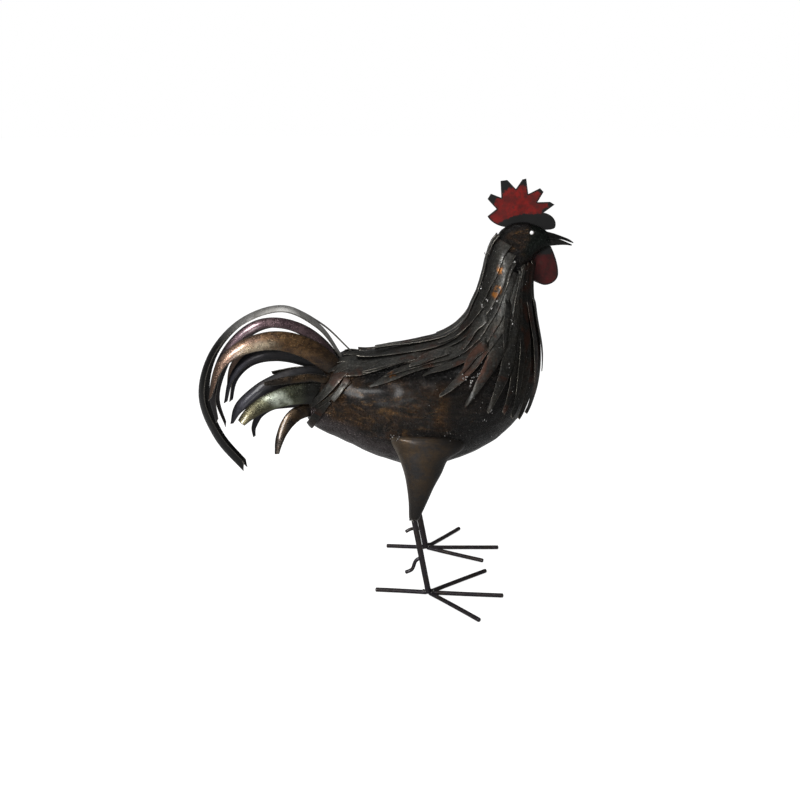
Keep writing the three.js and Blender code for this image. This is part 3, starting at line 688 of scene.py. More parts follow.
def feather_material(finish, colours):
    """Torched tail sheet in one of its finishes, with dark smoked rims."""
    # Two tints, streaks, the tip, how strong the streaks are and how fine the patches.
    tints = {
        "grey": (colours.sickle_grey, (0.34, 0.33, 0.31), (0.05, 0.04, 0.045), (0.3, 0.29, 0.28), 0.25, 30.0),
        "purple": (colours.sickle_purple, (0.05, 0.03, 0.035), (0.15, 0.10, 0.10), (0.03, 0.02, 0.03), 0.35, 34.0),
        "bronze": (colours.feather_bronze, (0.035, 0.018, 0.01), (0.27, 0.16, 0.065), (0.17, 0.11, 0.085), 0.5, 42.0),
        "dark": ((0.011, 0.011, 0.012), (0.02, 0.018, 0.018), (0.04, 0.037, 0.04), (0.02, 0.02, 0.026), 0.2, 36.0),
        "green": (colours.feather_green, (0.035, 0.037, 0.022), (0.12, 0.1, 0.05), (0.075, 0.06, 0.032), 0.4, 40.0),
        "brown": ((0.045, 0.028, 0.014), (0.015, 0.012, 0.01), (0.11, 0.06, 0.025), (0.02, 0.016, 0.013), 0.4, 40.0),
    }
    first, second, streak, tip, amount, scale = tints[finish]
    material, w, shader, place = start_material(f"{finish} tail sheet")
    colour = heat_tint(w, place, scale, 1.0 + scale, first, second, streak, amount)
    colour = w.blend(w.ramp(w.along(), 0.45, 0.85, 0.0, 0.75), colour, (*tip, 1))
    smoke = w.attribute("shade")
    colour = w.blend(w.math("MULTIPLY", smoke, 1.0, clamp=True), colour, grey(0.011, 0.03))
    # Negative shade turns the sheet pale: a painted highlight on the green coverts, and on the bronze sickles partly
    # straw tint and partly painted highlight.
    patchy = w.ramp(w.noise(place, 90.0, 4.0, 0.65), 0.3, 0.6)
    painted_highlight_and_straw = w.math("MULTIPLY", w.math("MULTIPLY", smoke, -1.0, clamp=True), patchy)
    colour = w.blend(painted_highlight_and_straw, colour, (0.5, 0.54, 0.45, 1) if finish == "green" else (0.5, 0.42, 0.3, 1))
    relief = sheet_relief(w, place, 60.0, 0.2)
    edge = w.attribute("edge")
    rim = w.ramp(w.math("ADD", edge, w.math("MULTIPLY", relief["Grime"], 0.5)), 1.3, 0.5)
    colour = w.blend(w.math("MULTIPLY", rim, 0.75), colour, grey(0.02, 0.1))
    wear = edge_wear(w, place, edge, 0.2)
    colour = w.blend(w.math("MULTIPLY", wear, 0.6), colour, (*colours.filed_edge, 1))
    rough = w.math("MULTIPLY_ADD", relief["Grime"], 0.2, 0.38 if finish == "dark" else 0.24)
    surface(w, shader, colour, rough, w.bump(relief["Height"], 0.4, 0.001))
    lacquer(shader, 0.85, 0.1 if finish == "dark" else 0.3)
    return material


def red_material(name, bright, deep):
    """Red paint scorched black at rims, tips and weld."""
    material, w, shader, place = start_material(name)
    worn = w.noise(place, 190.0, 5.0, 0.7)
    colour = w.blend(w.ramp(w.noise(place, 75.0, 3.0, 0.6), 0.35, 0.65), (*bright, 1), (*deep, 1))
    colour = w.blend(w.math("MULTIPLY", w.ramp(worn, 0.48, 0.7), 0.7), colour, (0.03, 0.008, 0.006, 1))
    burnt = w.math("ADD", w.attribute("shade"), w.math("MULTIPLY_ADD", worn, 1.2, -0.6))
    rim = w.ramp(w.math("ADD", w.attribute("edge"), w.math("MULTIPLY", worn, 1.6)), 3.0, 1.7)
    mask = w.math("MAXIMUM", w.ramp(burnt, 0.32, 0.7), w.math("MULTIPLY", rim, 0.9))
    surface(w, shader, w.blend(mask, colour, grey(0.008)), w.math("MULTIPLY_ADD", worn, 0.3, 0.35),
            w.bump(w.noise(place, 600.0, 4.0, 0.7), 0.35, 0.0004))
    shader.inputs["Specular IOR Level"].default_value = 0.25
    lacquer(shader, 0.0, 0.05, 0.25)
    return material


def black_material():
    """Smoked steel of the beak, rubbed a little on the crown."""
    material, w, shader, place = start_material("smoked beak steel")
    smears = w.noise(place, 260.0, 4.0, 0.6)
    surface(w, shader, w.blend(w.ramp(smears, 0.4, 0.7), grey(0.006), grey(0.02, 0.1)),
            w.math("MULTIPLY_ADD", smears, 0.25, 0.3), w.bump(smears, 0.3, 0.0004))
    lacquer(shader, 0.7, 0.15)
    return material


def rod_material(colours):
    """Blued bar for legs and toes with brown scale and rubbed highlights."""
    material, w, shader, place = start_material("blued bar")
    colour = heat_tint(w, place, 48.0, 7.7, colours.rod_blue, colours.rod_brown, (0.1, 0.085, 0.09), 0.35)
    relief = sheet_relief(w, place, 220.0, 0.7)
    colour = w.blend(w.math("MULTIPLY", relief["Grime"], 0.5), colour, grey(0.012, 0.1))
    surface(w, shader, colour, w.math("MULTIPLY_ADD", relief["Grime"], 0.2, 0.36),
            w.bump(relief["Height"], 0.5, 0.0004))
    lacquer(shader, 0.8, 0.2, 0.15)
    return material


def weld_material():
    """Bright weld metal with dark slag in its hollows."""
    material, w, shader, place = start_material("weld metal")
    slag = w.noise(place, 700.0, 4.0, 0.7)
    surface(w, shader, w.blend(w.ramp(slag, 0.45, 0.62), grey(0.62, 0.02), grey(0.05, 0.1)),
            w.math("MULTIPLY_ADD", slag, 0.4, 0.1), w.bump(slag, 0.8, 0.0004))
    lacquer(shader, 0.95, 0.3)
    return material


def joint_material():
    """Dull weld metal of the leg joints, with a few bright spots."""
    material, w, shader, place = start_material("dull weld metal")
    slag = w.noise(place, 620.0, 4.0, 0.7)
    surface(w, shader, w.blend(w.ramp(slag, 0.5, 0.66), grey(0.04, 0.05), grey(0.45, 0.05)),
            w.math("MULTIPLY_ADD", slag, -0.3, 0.5), w.bump(slag, 0.8, 0.0004))
    lacquer(shader, 0.9, 0.1)
    return material


def enamel_material():
    """White enamel of the eye discs, a little yellowed and scratched."""
    material, w, shader, place = start_material("white enamel")
    stain = w.noise(place, 900.0, 3.0)
    surface(w, shader, w.blend(w.ramp(stain, 0.5, 0.8), (0.95, 0.95, 0.94, 1), (0.82, 0.81, 0.78, 1)),
            w.math("MULTIPLY_ADD", stain, 0.2, 0.2))
    lacquer(shader, 0.0, 0.4)
    return material


# ---- properties ----------------------------------------------------------------------------

def colour_property(name, description, value):
    return FloatVectorProperty(name=name, description=description, default=value, size=3, subtype="COLOR",
                               min=0.0, max=1.0)


def length_property(name, description, millimetres):
    return FloatProperty(name=name, description=description, default=millimetres * MM, min=0.0, unit="LENGTH",
                         subtype="DISTANCE", precision=4)


class RoosterSizes(bpy.types.PropertyGroup):
    strip_sheet: length_property("Strip sheet", "Thickness of the feather strips", 0.9)
    tail_sheet: length_property("Tail sheet", "Thickness of the tail feathers", 1.3)
    thigh_sheet: length_property("Thigh sheet", "Thickness of the thigh cones", 1.1)
    plate: length_property("Comb plate", "Thickness of comb and wattle", 1.9)
    dents: length_property("Dents", "Depth of the dents in the body sheet", 0.55)
    tip_lift: length_property("Tip lift", "How far strip tips spring off the body", 1.0)
    bead: FloatProperty(name="Weld beads", description="Size of weld beads against their drawn size", default=1.0,
                        min=0.2, max=3.0, subtype="FACTOR")
    spatter: IntProperty(name="Spatter", description="Number of small weld drops on each side", default=90, min=0,
                         max=400)


class RoosterColours(bpy.types.PropertyGroup):
    body_brown: colour_property("Body brown", "Torched brown of the body sheet", (0.07, 0.034, 0.013))
    body_dark: colour_property("Body dark", "Blue-grey smoke on the body sheet", (0.03, 0.028, 0.028))
    body_gold: colour_property("Body gold", "Gold straw marks on the body sheet", (0.22, 0.12, 0.045))
    # Partly the purple-grey tint of the rear belly, partly a painted reflection of the pale floor on it.
    belly_grey_and_floor_sheen: colour_property("Belly grey", "Purple grey of the rear belly", (0.085, 0.068, 0.068))
    strip_black: colour_property("Strip black", "Fire-black of the strips", (0.009, 0.0095, 0.009))
    strip_rust: colour_property("Strip rust", "Red rust patches on the strips", (0.05, 0.018, 0.01))
    strip_brown: colour_property("Strip brown", "Brown scale on the strips", (0.019, 0.016, 0.012))
    strip_grey: colour_property("Strip grey", "Bare grey of the lighter strips", (0.075, 0.074, 0.066))
    amber: colour_property("Amber", "Burnt lacquer in the strip joints", (0.3, 0.11, 0.02))
    filed_edge: colour_property("Filed edge", "Bright steel where edges were filed", (0.27, 0.25, 0.215))
    sickle_grey: colour_property("Sickle grey", "Top sickle feathers", (0.5, 0.49, 0.47))
    sickle_purple: colour_property("Sickle purple", "Second sickle feathers", (0.1, 0.065, 0.07))
    feather_bronze: colour_property("Feather bronze", "Broad sickle feathers", (0.12, 0.066, 0.028))
    feather_green: colour_property("Feather green", "Broad coverts", (0.10, 0.11, 0.07))
    comb_red: colour_property("Comb red", "Paint of the comb", (0.19, 0.006, 0.004))
    comb_deep: colour_property("Comb deep red", "Deeper patches of the comb", (0.085, 0.005, 0.004))
    wattle_red: colour_property("Wattle red", "Paint of the wattle", (0.055, 0.004, 0.004))
    wattle_deep: colour_property("Wattle deep red", "Deeper patches of the wattle", (0.022, 0.003, 0.003))
    rod_blue: colour_property("Bar blue", "Blued legs and toes", (0.035, 0.03, 0.037))
    rod_brown: colour_property("Bar brown", "Brown scale on legs and toes", (0.045, 0.035, 0.03))


def sizes():
    return bpy.context.scene.rooster_sizes


def colours():
    return bpy.context.scene.rooster_colours


# ---- body ----------------------------------------------------------------------------------

def dented(hoop, share, side):
    """The shell with its dents; strips are laid over the undented shell, so dents go inwards."""
    point = bare_point(hoop, share, side)
    deep = wobble(point, 21, 2.0) + 0.7 * wobble(point, 10, 5.0)
    crease = abs(wobble((point.x * 0.6, point.y, point.z * 1.5), 17, 7.0))
    fade = smooth_step(LAST_HOOP, 13, hoop) * smooth_step(0, 0.6, hoop)
    return point - shell_normal(hoop, share, side) * (sizes().dents / MM * fade * (deep + 1.3 - 1.6 * crease))


def make_body():
    bm = bmesh.new()
    bm.loops.layers.uv.new("lay")
    names = ("smoke", "belly", "face")
    layers = {name: bm.verts.layers.float.new(name) for name in names}
    bmesh.ops.create_grid(bm, x_segments=BODY_MESH[0], y_segments=BODY_MESH[1], size=0.5, calc_uvs=True)
    for vert in bm.verts:
        hoop = (vert.co.x + 0.5) * LAST_HOOP
        turn = (vert.co.y + 0.5) * 2
        side = LEFT if turn <= 1 else RIGHT
        share = turn if turn <= 1 else 2 - turn
        point = dented(hoop, share, side)
        drift = wobble(point, 26, 8.0)
        masks = {
            "smoke": 0.22 + 0.7 * smooth_step(3.3, 5.4, hoop + 1.5 * drift)
            + smooth_step(0.36, 0.24, share + 0.06 * drift) + smooth_step(7.4, 8.4, hoop),
            # Where the rear belly's pale grey goes: partly tint, partly painted floor reflection.
            "belly": smooth_step(0.6, 0.72, share + 0.05 * drift) * smooth_step(5.4, 3.4, hoop),
            "face": smooth_step(162, 172, point.x + 0.25 * (430 - point.z) + 3 * drift)
            * smooth_step(11, 12.5, hoop),
        }
        panel = smooth_step(11.4, 12.2, hoop) * smooth_step(14.6, 13.6, hoop) * smooth_step(0.2, 0.32, share)
        masks["smoke"] = min(1.0, masks["smoke"]) * (1 - 0.8 * panel * smooth_step(0.85, 0.6, share))
        for name in names:
            vert[layers[name]] = min(max(masks[name], 0.0), 1.0)
        vert.co = point * MM
    bmesh.ops.remove_doubles(bm, verts=bm.verts[:], dist=1e-6)
    bmesh.ops.holes_fill(bm, edges=bm.edges[:], sides=0)
    bmesh.ops.recalc_face_normals(bm, faces=bm.faces[:])
    smooth_faces(bm)
    body = new_object("body_sheet", bm, body_material(colours()))
    drill_eyes(body)
    return finish_piece(body, "body_sheet", "body_shell")


def drill_eyes(body):
    """Cuts the eye hole straight through the head."""
    bm = bmesh.new()
    bmesh.ops.create_cone(bm, cap_ends=True, segments=32, radius1=EYE_RADIUS * MM, radius2=EYE_RADIUS * MM,
                          depth=EYE_DRILL_LENGTH * MM)
    bmesh.ops.rotate(bm, verts=bm.verts[:], matrix=Matrix.Rotation(math.pi / 2, 3, "X"))
    bmesh.ops.translate(bm, verts=bm.verts[:], vec=Vector((EYE_X, 0, EYE_Z)) * MM)
    bmesh.ops.recalc_face_normals(bm, faces=bm.faces[:])
    drill = new_object("eye_drill", bm)
    cut = body.modifiers.new("eye hole", "BOOLEAN")
    cut.object = drill
    cut.solver = "EXACT"
    apply_modifiers(body)
    bpy.data.objects.remove(drill)


def make_eye(side, label):
    """A white disc set a little way down the drilled eye hole."""
    bm = bmesh.new()
    bmesh.ops.create_uvsphere(bm, u_segments=20, v_segments=10, radius=EYE_DISC_RADIUS * MM)
    bmesh.ops.scale(bm, verts=bm.verts[:], vec=(1, 0.3, 1))
    y = eye_surface(side) - side * EYE_DISC_DEPTH
    bmesh.ops.translate(bm, verts=bm.verts[:], vec=Vector((EYE_X, y, EYE_Z)) * MM)
    smooth_faces(bm)
    eye = new_object(f"eye_disc_{label}", bm, enamel_material())
    return finish_piece(eye, "beak_black")


def eye_surface(side):
    """The y of the head's skin at the eye."""
    best = min(((Vector((EYE_X, 0, EYE_Z)) - Vector((p.x, 0, p.z))).length, p.y)
               for p in (bare_point(13 + i * 0.05, 0.3 + j * 0.01, side) for i in range(50) for j in range(41)))
    return best[1]


# ---- strips --------------------------------------------------------------------------------

def tip_width(t, start=0.66, end=0.16):
    """How a strip narrows from start to its tip."""
    return 1 - (1 - end) * max(0.0, (t - start) / (1 - start)) ** 1.35


def shingle_place(number, side, seed):
    """Lays one row strip between its seam and the one above it."""
    seam, tip = SEAMS[number]
    above = SEAMS[number - 1][0]
    root = seam[0][0]
    tone = min(1.0, max(0.0, ROW_SHADES[number - 1] + (0.0 if side == RIGHT else 0.12 * math.sin(number * 2.1))))

    def place(u, v):
        hoop = mix(root, tip, u)
        low = seam_share(seam, hoop)
        per_share = share_length(hoop, low)
        tuck = 0.0 if number == 1 else min(TUCK_MOST / per_share, TUCK_SHARE * (low - seam_share(above, hoop)))
        high = max(seam_share(above, hoop) - tuck, low - STRIP_WIDEST / per_share)
        ragged = 0.3 * wobble((hoop * 9, number * 5, side), 10, seed) * smooth_step(0, 0.08, u)
        half = (low - high) / 2 * tip_width(u)
        width = 2 * half * per_share
        share = (low + high) / 2 + (2 * v - 1) * half + v * ragged / per_share
        rise = mix(STRIP_LOW, STRIP_HIGH, v) + 0.25 * wobble((hoop * 11, v * 4, number), 6, seed)
        rise += sizes().tip_lift / MM * smooth_step(0.86, 1.0, u) * (0.4 + v)
        rise -= 1.2 * smooth_step(0.06, 0.0, u)
        length = (root - tip) * hoop_length(hoop, share)
        edge = min(v * width, (1 - v) * width, (1 - u) * length, FAR_FROM_EDGE)
        return shell_point(hoop, share, rise + 1.0, side), edge, tone

    return place


def ribbon_place(route, widths, lift, tone, side, base=STRIP_LOW, seed=0.0, point_end=0.16, dive=0.0):
    """A short strip across the shell along a route of (hoop, share) places."""
    def place(u, v):
        hoop, share = on_curve(route, u)
        ahead, behind = on_curve(route, min(u + 0.02, 1)), on_curve(route, max(u - 0.02, 0))
        per_hoop, per_share = hoop_length(hoop, share), share_length(hoop, share)
        along = Vector(((ahead[0] - behind[0]) * per_hoop, (ahead[1] - behind[1]) * per_share))
        width = mix(*widths, u) * tip_width(u, end=point_end)
        across = Vector((-along.y, along.x)).normalized() * (width * (v - 0.5))
        hoop += across.x / per_hoop
        share += across.y / per_share
        flutter = 0.3 * wobble((u * 30, v * 5, 0), 6, seed)
        height = base + 1.0 + lift * u + flutter - dive * smooth_step(0.16, 0.0, u)
        edge = min(v * width, (1 - v) * width, (1 - u) * 30, FAR_FROM_EDGE)
        return shell_point(hoop, share, height, side), edge, tone
    return place


AMBER_PLACES = [((9.85, 0.326), 6.0), ((9.6, 0.3), 6.0), ((10.7, 0.336), 5.0), ((2.2, 0.3), 7.0), ((3.0, 0.27), 4.0)]


def tint_amber(bm, side):
    """Marks the patches of burnt lacquer, which sit in a few joints between the strips."""
    amber = bm.verts.layers.float.new("amber")
    spots = [(shell_point(*place, 3.0, side) * MM, size * MM) for place, size in AMBER_PLACES]
    for vert in bm.verts:
        vert[amber] = max(smooth_step(size, size * 0.4, (vert.co - spot).length) for spot, size in spots)


def lay_strip(name, mesh, place, side, outwards, material, *nodes):
    """Cuts one strip of sheet, lays it where place says and welds it on."""
    bm = sheet_mesh(*mesh, place, outwards=outwards)
    tint_amber(bm, side)
    strip = new_object(name, bm, material)
    thicken(strip, sizes().strip_sheet / MM, STRIP_EDGE)
    finish_piece(strip, "strip_sheet", *nodes)


def make_strips(side, label, material):
    for number in range(1, len(SEAMS)):
        seam, tip = SEAMS[number]
        mesh = (int((seam[0][0] - tip) * ROW_MESH[0]) + 6, ROW_MESH[1])
        nodes = [f"strip_{label}_{number:02d}"] if number <= CAD_ROWS else []
        lay_strip(f"feather_row_{label}_{number:02d}", mesh, shingle_place(number, side, number * 3.3 + side),
                  side, side == RIGHT, material, *nodes)


def make_overlays(side, label, material):
    for number, (route, width, tone) in enumerate(BACK_STRIPS, 1):
        place = ribbon_place(route, (width, width), 0.4, tone, side, base=0.5 + 0.25 * number,
                             seed=50 + number + side)
        lay_strip(f"back_feather_{label}_{number}", BACK_MESH, place, side, side == LEFT, material)
    for number, (route, width, lift, tone) in enumerate(OVERLAYS, 1):
        place = ribbon_place(route, (width, width), lift, tone, side, base=STRIP_HIGH + OVERLAY_GAP,
                             seed=number + side, dive=OVERLAY_DIVE)
        lay_strip(f"feather_overlay_{label}_{number:02d}", OVERLAY_MESH, place, side, side == LEFT, material)
    for number, (route, widths, tone) in enumerate(RUMP_STRIPS, 1):
        place = ribbon_place(route, widths, RUMP_LIFT, tone, side, seed=20 + number + side, point_end=0.9)
        nodes = [f"rump_strip_{label}_{number}"] if number <= RUMP_SOLIDS else []
        lay_strip(f"rump_feather_{label}_{number}", RUMP_MESH, place, side, side == LEFT, material, *nodes)


# ---- tail ----------------------------------------------------------------------------------

CAMBER = 0.09
TAIL_ROOT = Vector((-62, 0, 262))


def tail_place(side, spread, tilt, path, finish, seed):
    """Lays one cambered tail feather along its path."""
    def place(u, v):
        slant = 0.02 * (1 - v) if u > 0.5 else 0.0
        t = u - slant * smooth_step(0.7, 1.0, u)
        x, z, width = on_curve(path, t)
        ahead, behind = on_curve(path, min(t + 0.002, 1)), on_curve(path, max(t - 0.002, 0))
        along = Vector((ahead[0] - behind[0], 0, ahead[1] - behind[1])).normalized()
        outwards = Vector((along.z, 0, -along.x))
        sideways = Vector((0, side, 0))
        lean = math.radians(mix(*tilt, t * t))
        across = outwards * math.cos(lean) - sideways * math.sin(lean)
        face = outwards * math.sin(lean) + sideways * math.cos(lean)
        k = 2 * v - 1
        ragged = 0.25 * wobble((t * 60, k, side), 5, seed)
        bulge = CAMBER * width * (1 - k * k) + 0.35 * wobble((t * 90, k * 3, 0), 16, seed + 3)
        centre = Vector((x, side * mix(*spread, t), z))
        point = centre + across * (k * width / 2 + k * k * k * ragged) + face * bulge
        edge = min(v * width, (1 - v) * width, (1 - u) * 120, FAR_FROM_EDGE)
        smoke = smooth_step(26, 2, (point - TAIL_ROOT).length * (1 if side == RIGHT else 0.8) - 8)
        if finish == "grey":
            smoke = max(smoke, smooth_step(0.46, 0.6, t + 0.05 * ragged))
        elif finish == "purple":
            smoke = max(smoke, 0.8 * smooth_step(0.62, 0.75, t))
        elif finish == "bronze":
            smoke = max(smoke, 0.9 * smooth_step(0.34, 0.08, t))
            # Pale patch on the lower edge: partly straw tint, partly a painted highlight.
            smoke -= 0.6 * smooth_step(0.16, 0.04, abs(t - 0.6)) * smooth_step(0.3, -0.6, k)
        elif finish == "green":
            smoke = max(smoke, 0.95 * smooth_step(0.42, 0.22, t))
            # Painted highlight: a pale patch across the middle of the green covert.
            smoke -= 0.95 * smooth_step(0.13, 0.02, abs(t - 0.5 - 0.06 * k)) * smooth_step(1.1, 0.4, abs(k + 0.1))
        return point, edge, smoke
    return place


def make_tail():
    materials = {finish: feather_material(finish, colours())
                 for finish in ("grey", "purple", "bronze", "dark", "green", "brown")}
    for number, (name, finish, spread, tilt, path) in enumerate(TAIL_FEATHERS):
        side = RIGHT if name.endswith("right") else LEFT
        bm = sheet_mesh(*FEATHER_MESH, tail_place(side, spread, tilt, path, finish, number * 1.9),
                        outwards=(side == LEFT))
        feather = new_object(f"feather_{name}", bm, materials[finish])
        thicken(feather, sizes().tail_sheet / MM, FEATHER_EDGE, inwards=0.0)
        family = name.rsplit("_", 1)[0]
        finish_piece(feather, FEATHER_SLOTS.get(family, "feather_dark"), name)


# ---- head ----------------------------------------------------------------------------------

def bezier_corner(start, first, second, end, count=12):
    """Places on a curve from start, which is left out, to end."""
    points = []
    for i in range(1, count + 1):
        t = i / count
        s = 1 - t
        points.append(tuple(s ** 3 * a + 3 * s * s * t * b + 3 * s * t * t * c + t ** 3 * d
                            for a, b, c, d in zip(start, first, second, end)))
    return points


COMB_HUB = Vector((157, 446))


def comb_outline():
    """Corners of the comb plate, as (x, z)."""
    points = [(150, 424), (142, 432)]
    points += bezier_corner((142, 432), (132, 432.5), (123, 438), (120, 444))
    for tooth in (
        ((130, 452), (119.5, 463), (123, 469)),
        ((135, 464.5), (133.5, 483), (141, 484)),
        ((151, 474), (158, 484.5), (162, 485.5)),
        ((165, 468.5), (178, 475), (182, 471)),
        ((175.5, 459.5), (190, 460), (195, 457)),
    ):
        points += tooth
    points.append((183, 448))
    points += bezier_corner((183, 448), (192, 447), (199, 440), (197, 432))
    points += bezier_corner((197, 432), (196, 429.5), (191, 428.8), (186, 429), 6)
    points.append((172, 424))
    return points


def wattle_outline():
    """Corners of the wattle plate, as (x, z)."""
    points = [(186, 413), (193, 410.5)]
    points += bezier_corner((193, 410.5), (198, 401), (203, 389), (203, 378))
    points += bezier_corner((203, 378), (202, 369), (193, 365.5), (187, 366))
    points += bezier_corner((187, 366), (182, 367), (179, 369), (174, 371), 6)
    points += [(170, 372), (172, 394), (179, 405)]
    return points


def rim_distance(x, z, outline):
    """How far a place in a plate is from the plate's outline."""
    place, nearest = Vector((x, z)), FAR_FROM_EDGE
    for a, b in zip(outline, outline[1:] + outline[:1]):
        a, b = Vector(a), Vector(b)
        t = min(max((place - a).dot(b - a) / (b - a).length_squared, 0.0), 1.0)
        nearest = min(nearest, (place - a.lerp(b, t)).length)
    return nearest


def make_plate(name, outline, scorch, material, slot, bend):
    """A cut plate in the mid-plane; scorch(x, z) is how burnt it is."""
    bm = bmesh.new()
    edge = bm.verts.layers.float.new("edge")
    shade = bm.verts.layers.float.new("shade")
    verts = [bm.verts.new((x, 0, z)) for x, z in outline]
    face = bm.faces.new(verts)
    bmesh.ops.recalc_face_normals(bm, faces=[face])
    for axis in (0, 2):
        low, high = min(v.co[axis] for v in verts), max(v.co[axis] for v in verts)
        for i in range(1, int((high - low) / PLATE_MESH)):
            cut = [0.0, 0.0, 0.0]
            cut[axis] = low + i * PLATE_MESH
            bmesh.ops.bisect_plane(bm, geom=bm.verts[:] + bm.edges[:] + bm.faces[:], plane_co=cut,
                                   plane_no=(float(axis == 0), 0, float(axis == 2)))
    for vert in bm.verts:
        vert[edge] = rim_distance(vert.co.x, vert.co.z, outline)
        vert[shade] = scorch(vert.co.x, vert.co.z)
        vert.co.y = bend(vert.co.x, vert.co.z)
        vert.co *= MM
    plate = new_object(name, bm, material)
    thicken(plate, sizes().plate / MM, PLATE_EDGE, inwards=0.0)
    return finish_piece(plate, slot, name.replace("_plate", ""))


def make_comb_and_wattle():
    paint = red_material("scorched red paint", colours().comb_red, colours().comb_deep)
    maroon = red_material("scorched maroon paint", colours().wattle_red, colours().wattle_deep)

    def comb_scorch(x, z):
        reach = (Vector((x, z)) - COMB_HUB).length
        tips = smooth_step(27, 37, reach) if z > 448 else 0.0
        arch = 447 - 0.012 * max(0.0, 163 - x) ** 2
        base = smooth_step(arch + 4, arch - 4, z)
        front = smooth_step(176, 186, x) * smooth_step(458, 450, z)
        return max(tips, base, front)

    def wattle_scorch(x, z):
        return smooth_step(394, 409, z)

    make_plate("comb_plate", comb_outline(), comb_scorch, paint, "comb_red",
               lambda x, z: 0.5 * wobble((x, 0, z), 22, 4.0))
    make_plate("wattle_plate", wattle_outline(), wattle_scorch, maroon, "comb_red",
               lambda x, z: 0.3 * wobble((x, 0, z), 20, 6.0))


def beak_place(stations):
    """A half-round beak half, closed by its flat."""
    def place(u, v):
        x, flat, crown, half = on_curve(stations, u)
        if v < BEAK_ROUND:
            angle = v / BEAK_ROUND * math.pi
            point = Vector((x, half * math.cos(angle), flat + (crown - flat) * math.sin(angle)))
        else:
            point = Vector((x, mix(-half, half, (v - BEAK_ROUND) / (1 - BEAK_ROUND)), flat))
        return point, FAR_FROM_EDGE, MIDDLE_TONE
    return place


def make_beak():
    material = black_material()
    for name, stations in (("upper", UPPER_BEAK), ("lower", LOWER_BEAK)):
        bm = sheet_mesh(*BEAK_MESH, beak_place(stations), merge=True)
        bmesh.ops.holes_fill(bm, edges=bm.edges[:], sides=0)
        bmesh.ops.recalc_face_normals(bm, faces=bm.faces[:])
        half = new_object(f"beak_half_{name}", bm, material)
        round_edges(half, "rubbed edges", BEAK_EDGE, 40)
        finish_piece(half, "beak_black", f"beak_{name}")


# ---- legs ----------------------------------------------------------------------------------

SEAM_OVERLAP = math.radians(14)


def thigh_place(side):
    """A rolled cone whose end laps over its start at the rear."""
    def place(u, v):
        z, rear, front, middle_y, depth = on_curve(THIGH, v)
        angle = math.pi + side * u * (2 * math.pi + SEAM_OVERLAP)
        proud = 1.0 * smooth_step(0.9, 1.0, u) + 0.25 * wobble((u * 40, v * 60, 0), 16, 2.0 + side)
        point = Vector(((rear + front) / 2 + ((front - rear) / 2 + proud) * math.cos(angle),
                        side * middle_y + (depth + proud) * math.sin(angle), z))
        edge = min((1 - v) * 105, (1 - u) * 90, v * 105, FAR_FROM_EDGE)
        # Darker towards the bottom; painted shade on the front side and at the top rim under the body; paler along
        # the rear seam.
        dark = max(smooth_step(0.45, 0.05, v), smooth_step(0.97, 0.995, v), smooth_step(-0.1, 0.8, math.cos(angle)))
        return point, edge, dark - 1.1 * smooth_step(0.15, 0.02, min(u, 1 - u))
    return place


def thigh_material(colours):
    """Brown torched thigh cones, greyer at the rear seam."""
    material, w, shader, place = start_material("torched thigh sheet")
    tint = heat_tint(w, place, 40.0, 5.2, (0.06, 0.038, 0.02), colours.body_dark, (0.11, 0.07, 0.035), 0.4)
    relief = sheet_relief(w, place, 60.0, 0.4)
    shade = w.attribute("shade")
    # Positive shade darkens the sheet: painted shade on the front side and under the body, and darker towards the
    # bottom.
    colour = w.blend(w.math("MULTIPLY", shade, 0.8, clamp=True), tint, grey(0.014, 0.1))
    colour = w.blend(w.math("MULTIPLY", shade, -0.8, clamp=True), colour, (0.2, 0.165, 0.12, 1))
    colour = w.blend(w.math("MULTIPLY", relief["Grime"], 0.4), colour, grey(0.014, 0.1))
    wear = edge_wear(w, place, w.attribute("edge"), 0.5)
    colour = w.blend(w.math("MULTIPLY", wear, 0.5), colour, (*colours.filed_edge, 1))
    surface(w, shader, colour, w.math("MULTIPLY_ADD", relief["Grime"], 0.2, 0.36),
            w.bump(relief["Height"], 0.5, 0.0009))
    lacquer(shader, 0.75, 0.2, 0.15)
    return material


def on_side(point, side):
    """A place given for the left side, moved to the side asked for."""
    return Vector((point[0], side * point[1], point[2]))


def make_leg(side, label, thigh_finish, bar_finish):
    """One leg: thigh cone, shank, four toes and spur."""
    bm = sheet_mesh(*THIGH_MESH, thigh_place(side), outwards=(side == RIGHT))
    bmesh.ops.recalc_face_normals(bm, faces=bm.faces[:])
    thigh = new_object(f"thigh_cone_{label}", bm, thigh_finish)
    thicken(thigh, sizes().thigh_sheet / MM, STRIP_EDGE)
    finish_piece(thigh, "body_sheet", f"thigh_{label}")

    foot = on_side(SHANK_FOOT, side)
    shank = bar(f"shank_bar_{label}", on_side(SHANK_TOP, side), foot + Vector((0, 0, 0.2)), SHANK_RADIUS[side],
                bar_finish, rows=30, seed=side)
    finish_piece(shank, "leg_rod", f"shank_{label}")

    for toe, (degrees, reach) in FEET[side].items():
        angle = math.radians(degrees)
        heading = Vector((math.cos(angle), math.sin(angle), 0))
        level = Vector((foot.x, foot.y, TOE_RADIUS))
        start = level + heading * 1.5
        end = level + heading * reach
        piece = bar(f"toe_bar_{toe}_{label}", start, end, TOE_RADIUS, bar_finish, rows=24, sides=16,
                    bow=0.4 * math.sin(reach), seed=degrees)
        finish_piece(piece, "leg_rod", f"toe_{toe}_{label}")

    path = [tuple(on_side(point, side)) for point in SPURS[side]]

    def girth(t, angle):
        uneven = 1 + 0.05 * wobble((t * 30, angle, 0), 4, side)
        return SPUR_RADIUS * round_end((1 - t) / 0.05) * round_end(t / 0.03) * uneven

    spur = new_object(f"spur_bar_{label}", tube_mesh(lambda t: on_curve(path, t), girth, *SPUR_MESH), bar_finish)
    finish_piece(spur, "leg_rod", f"spur_{label}")


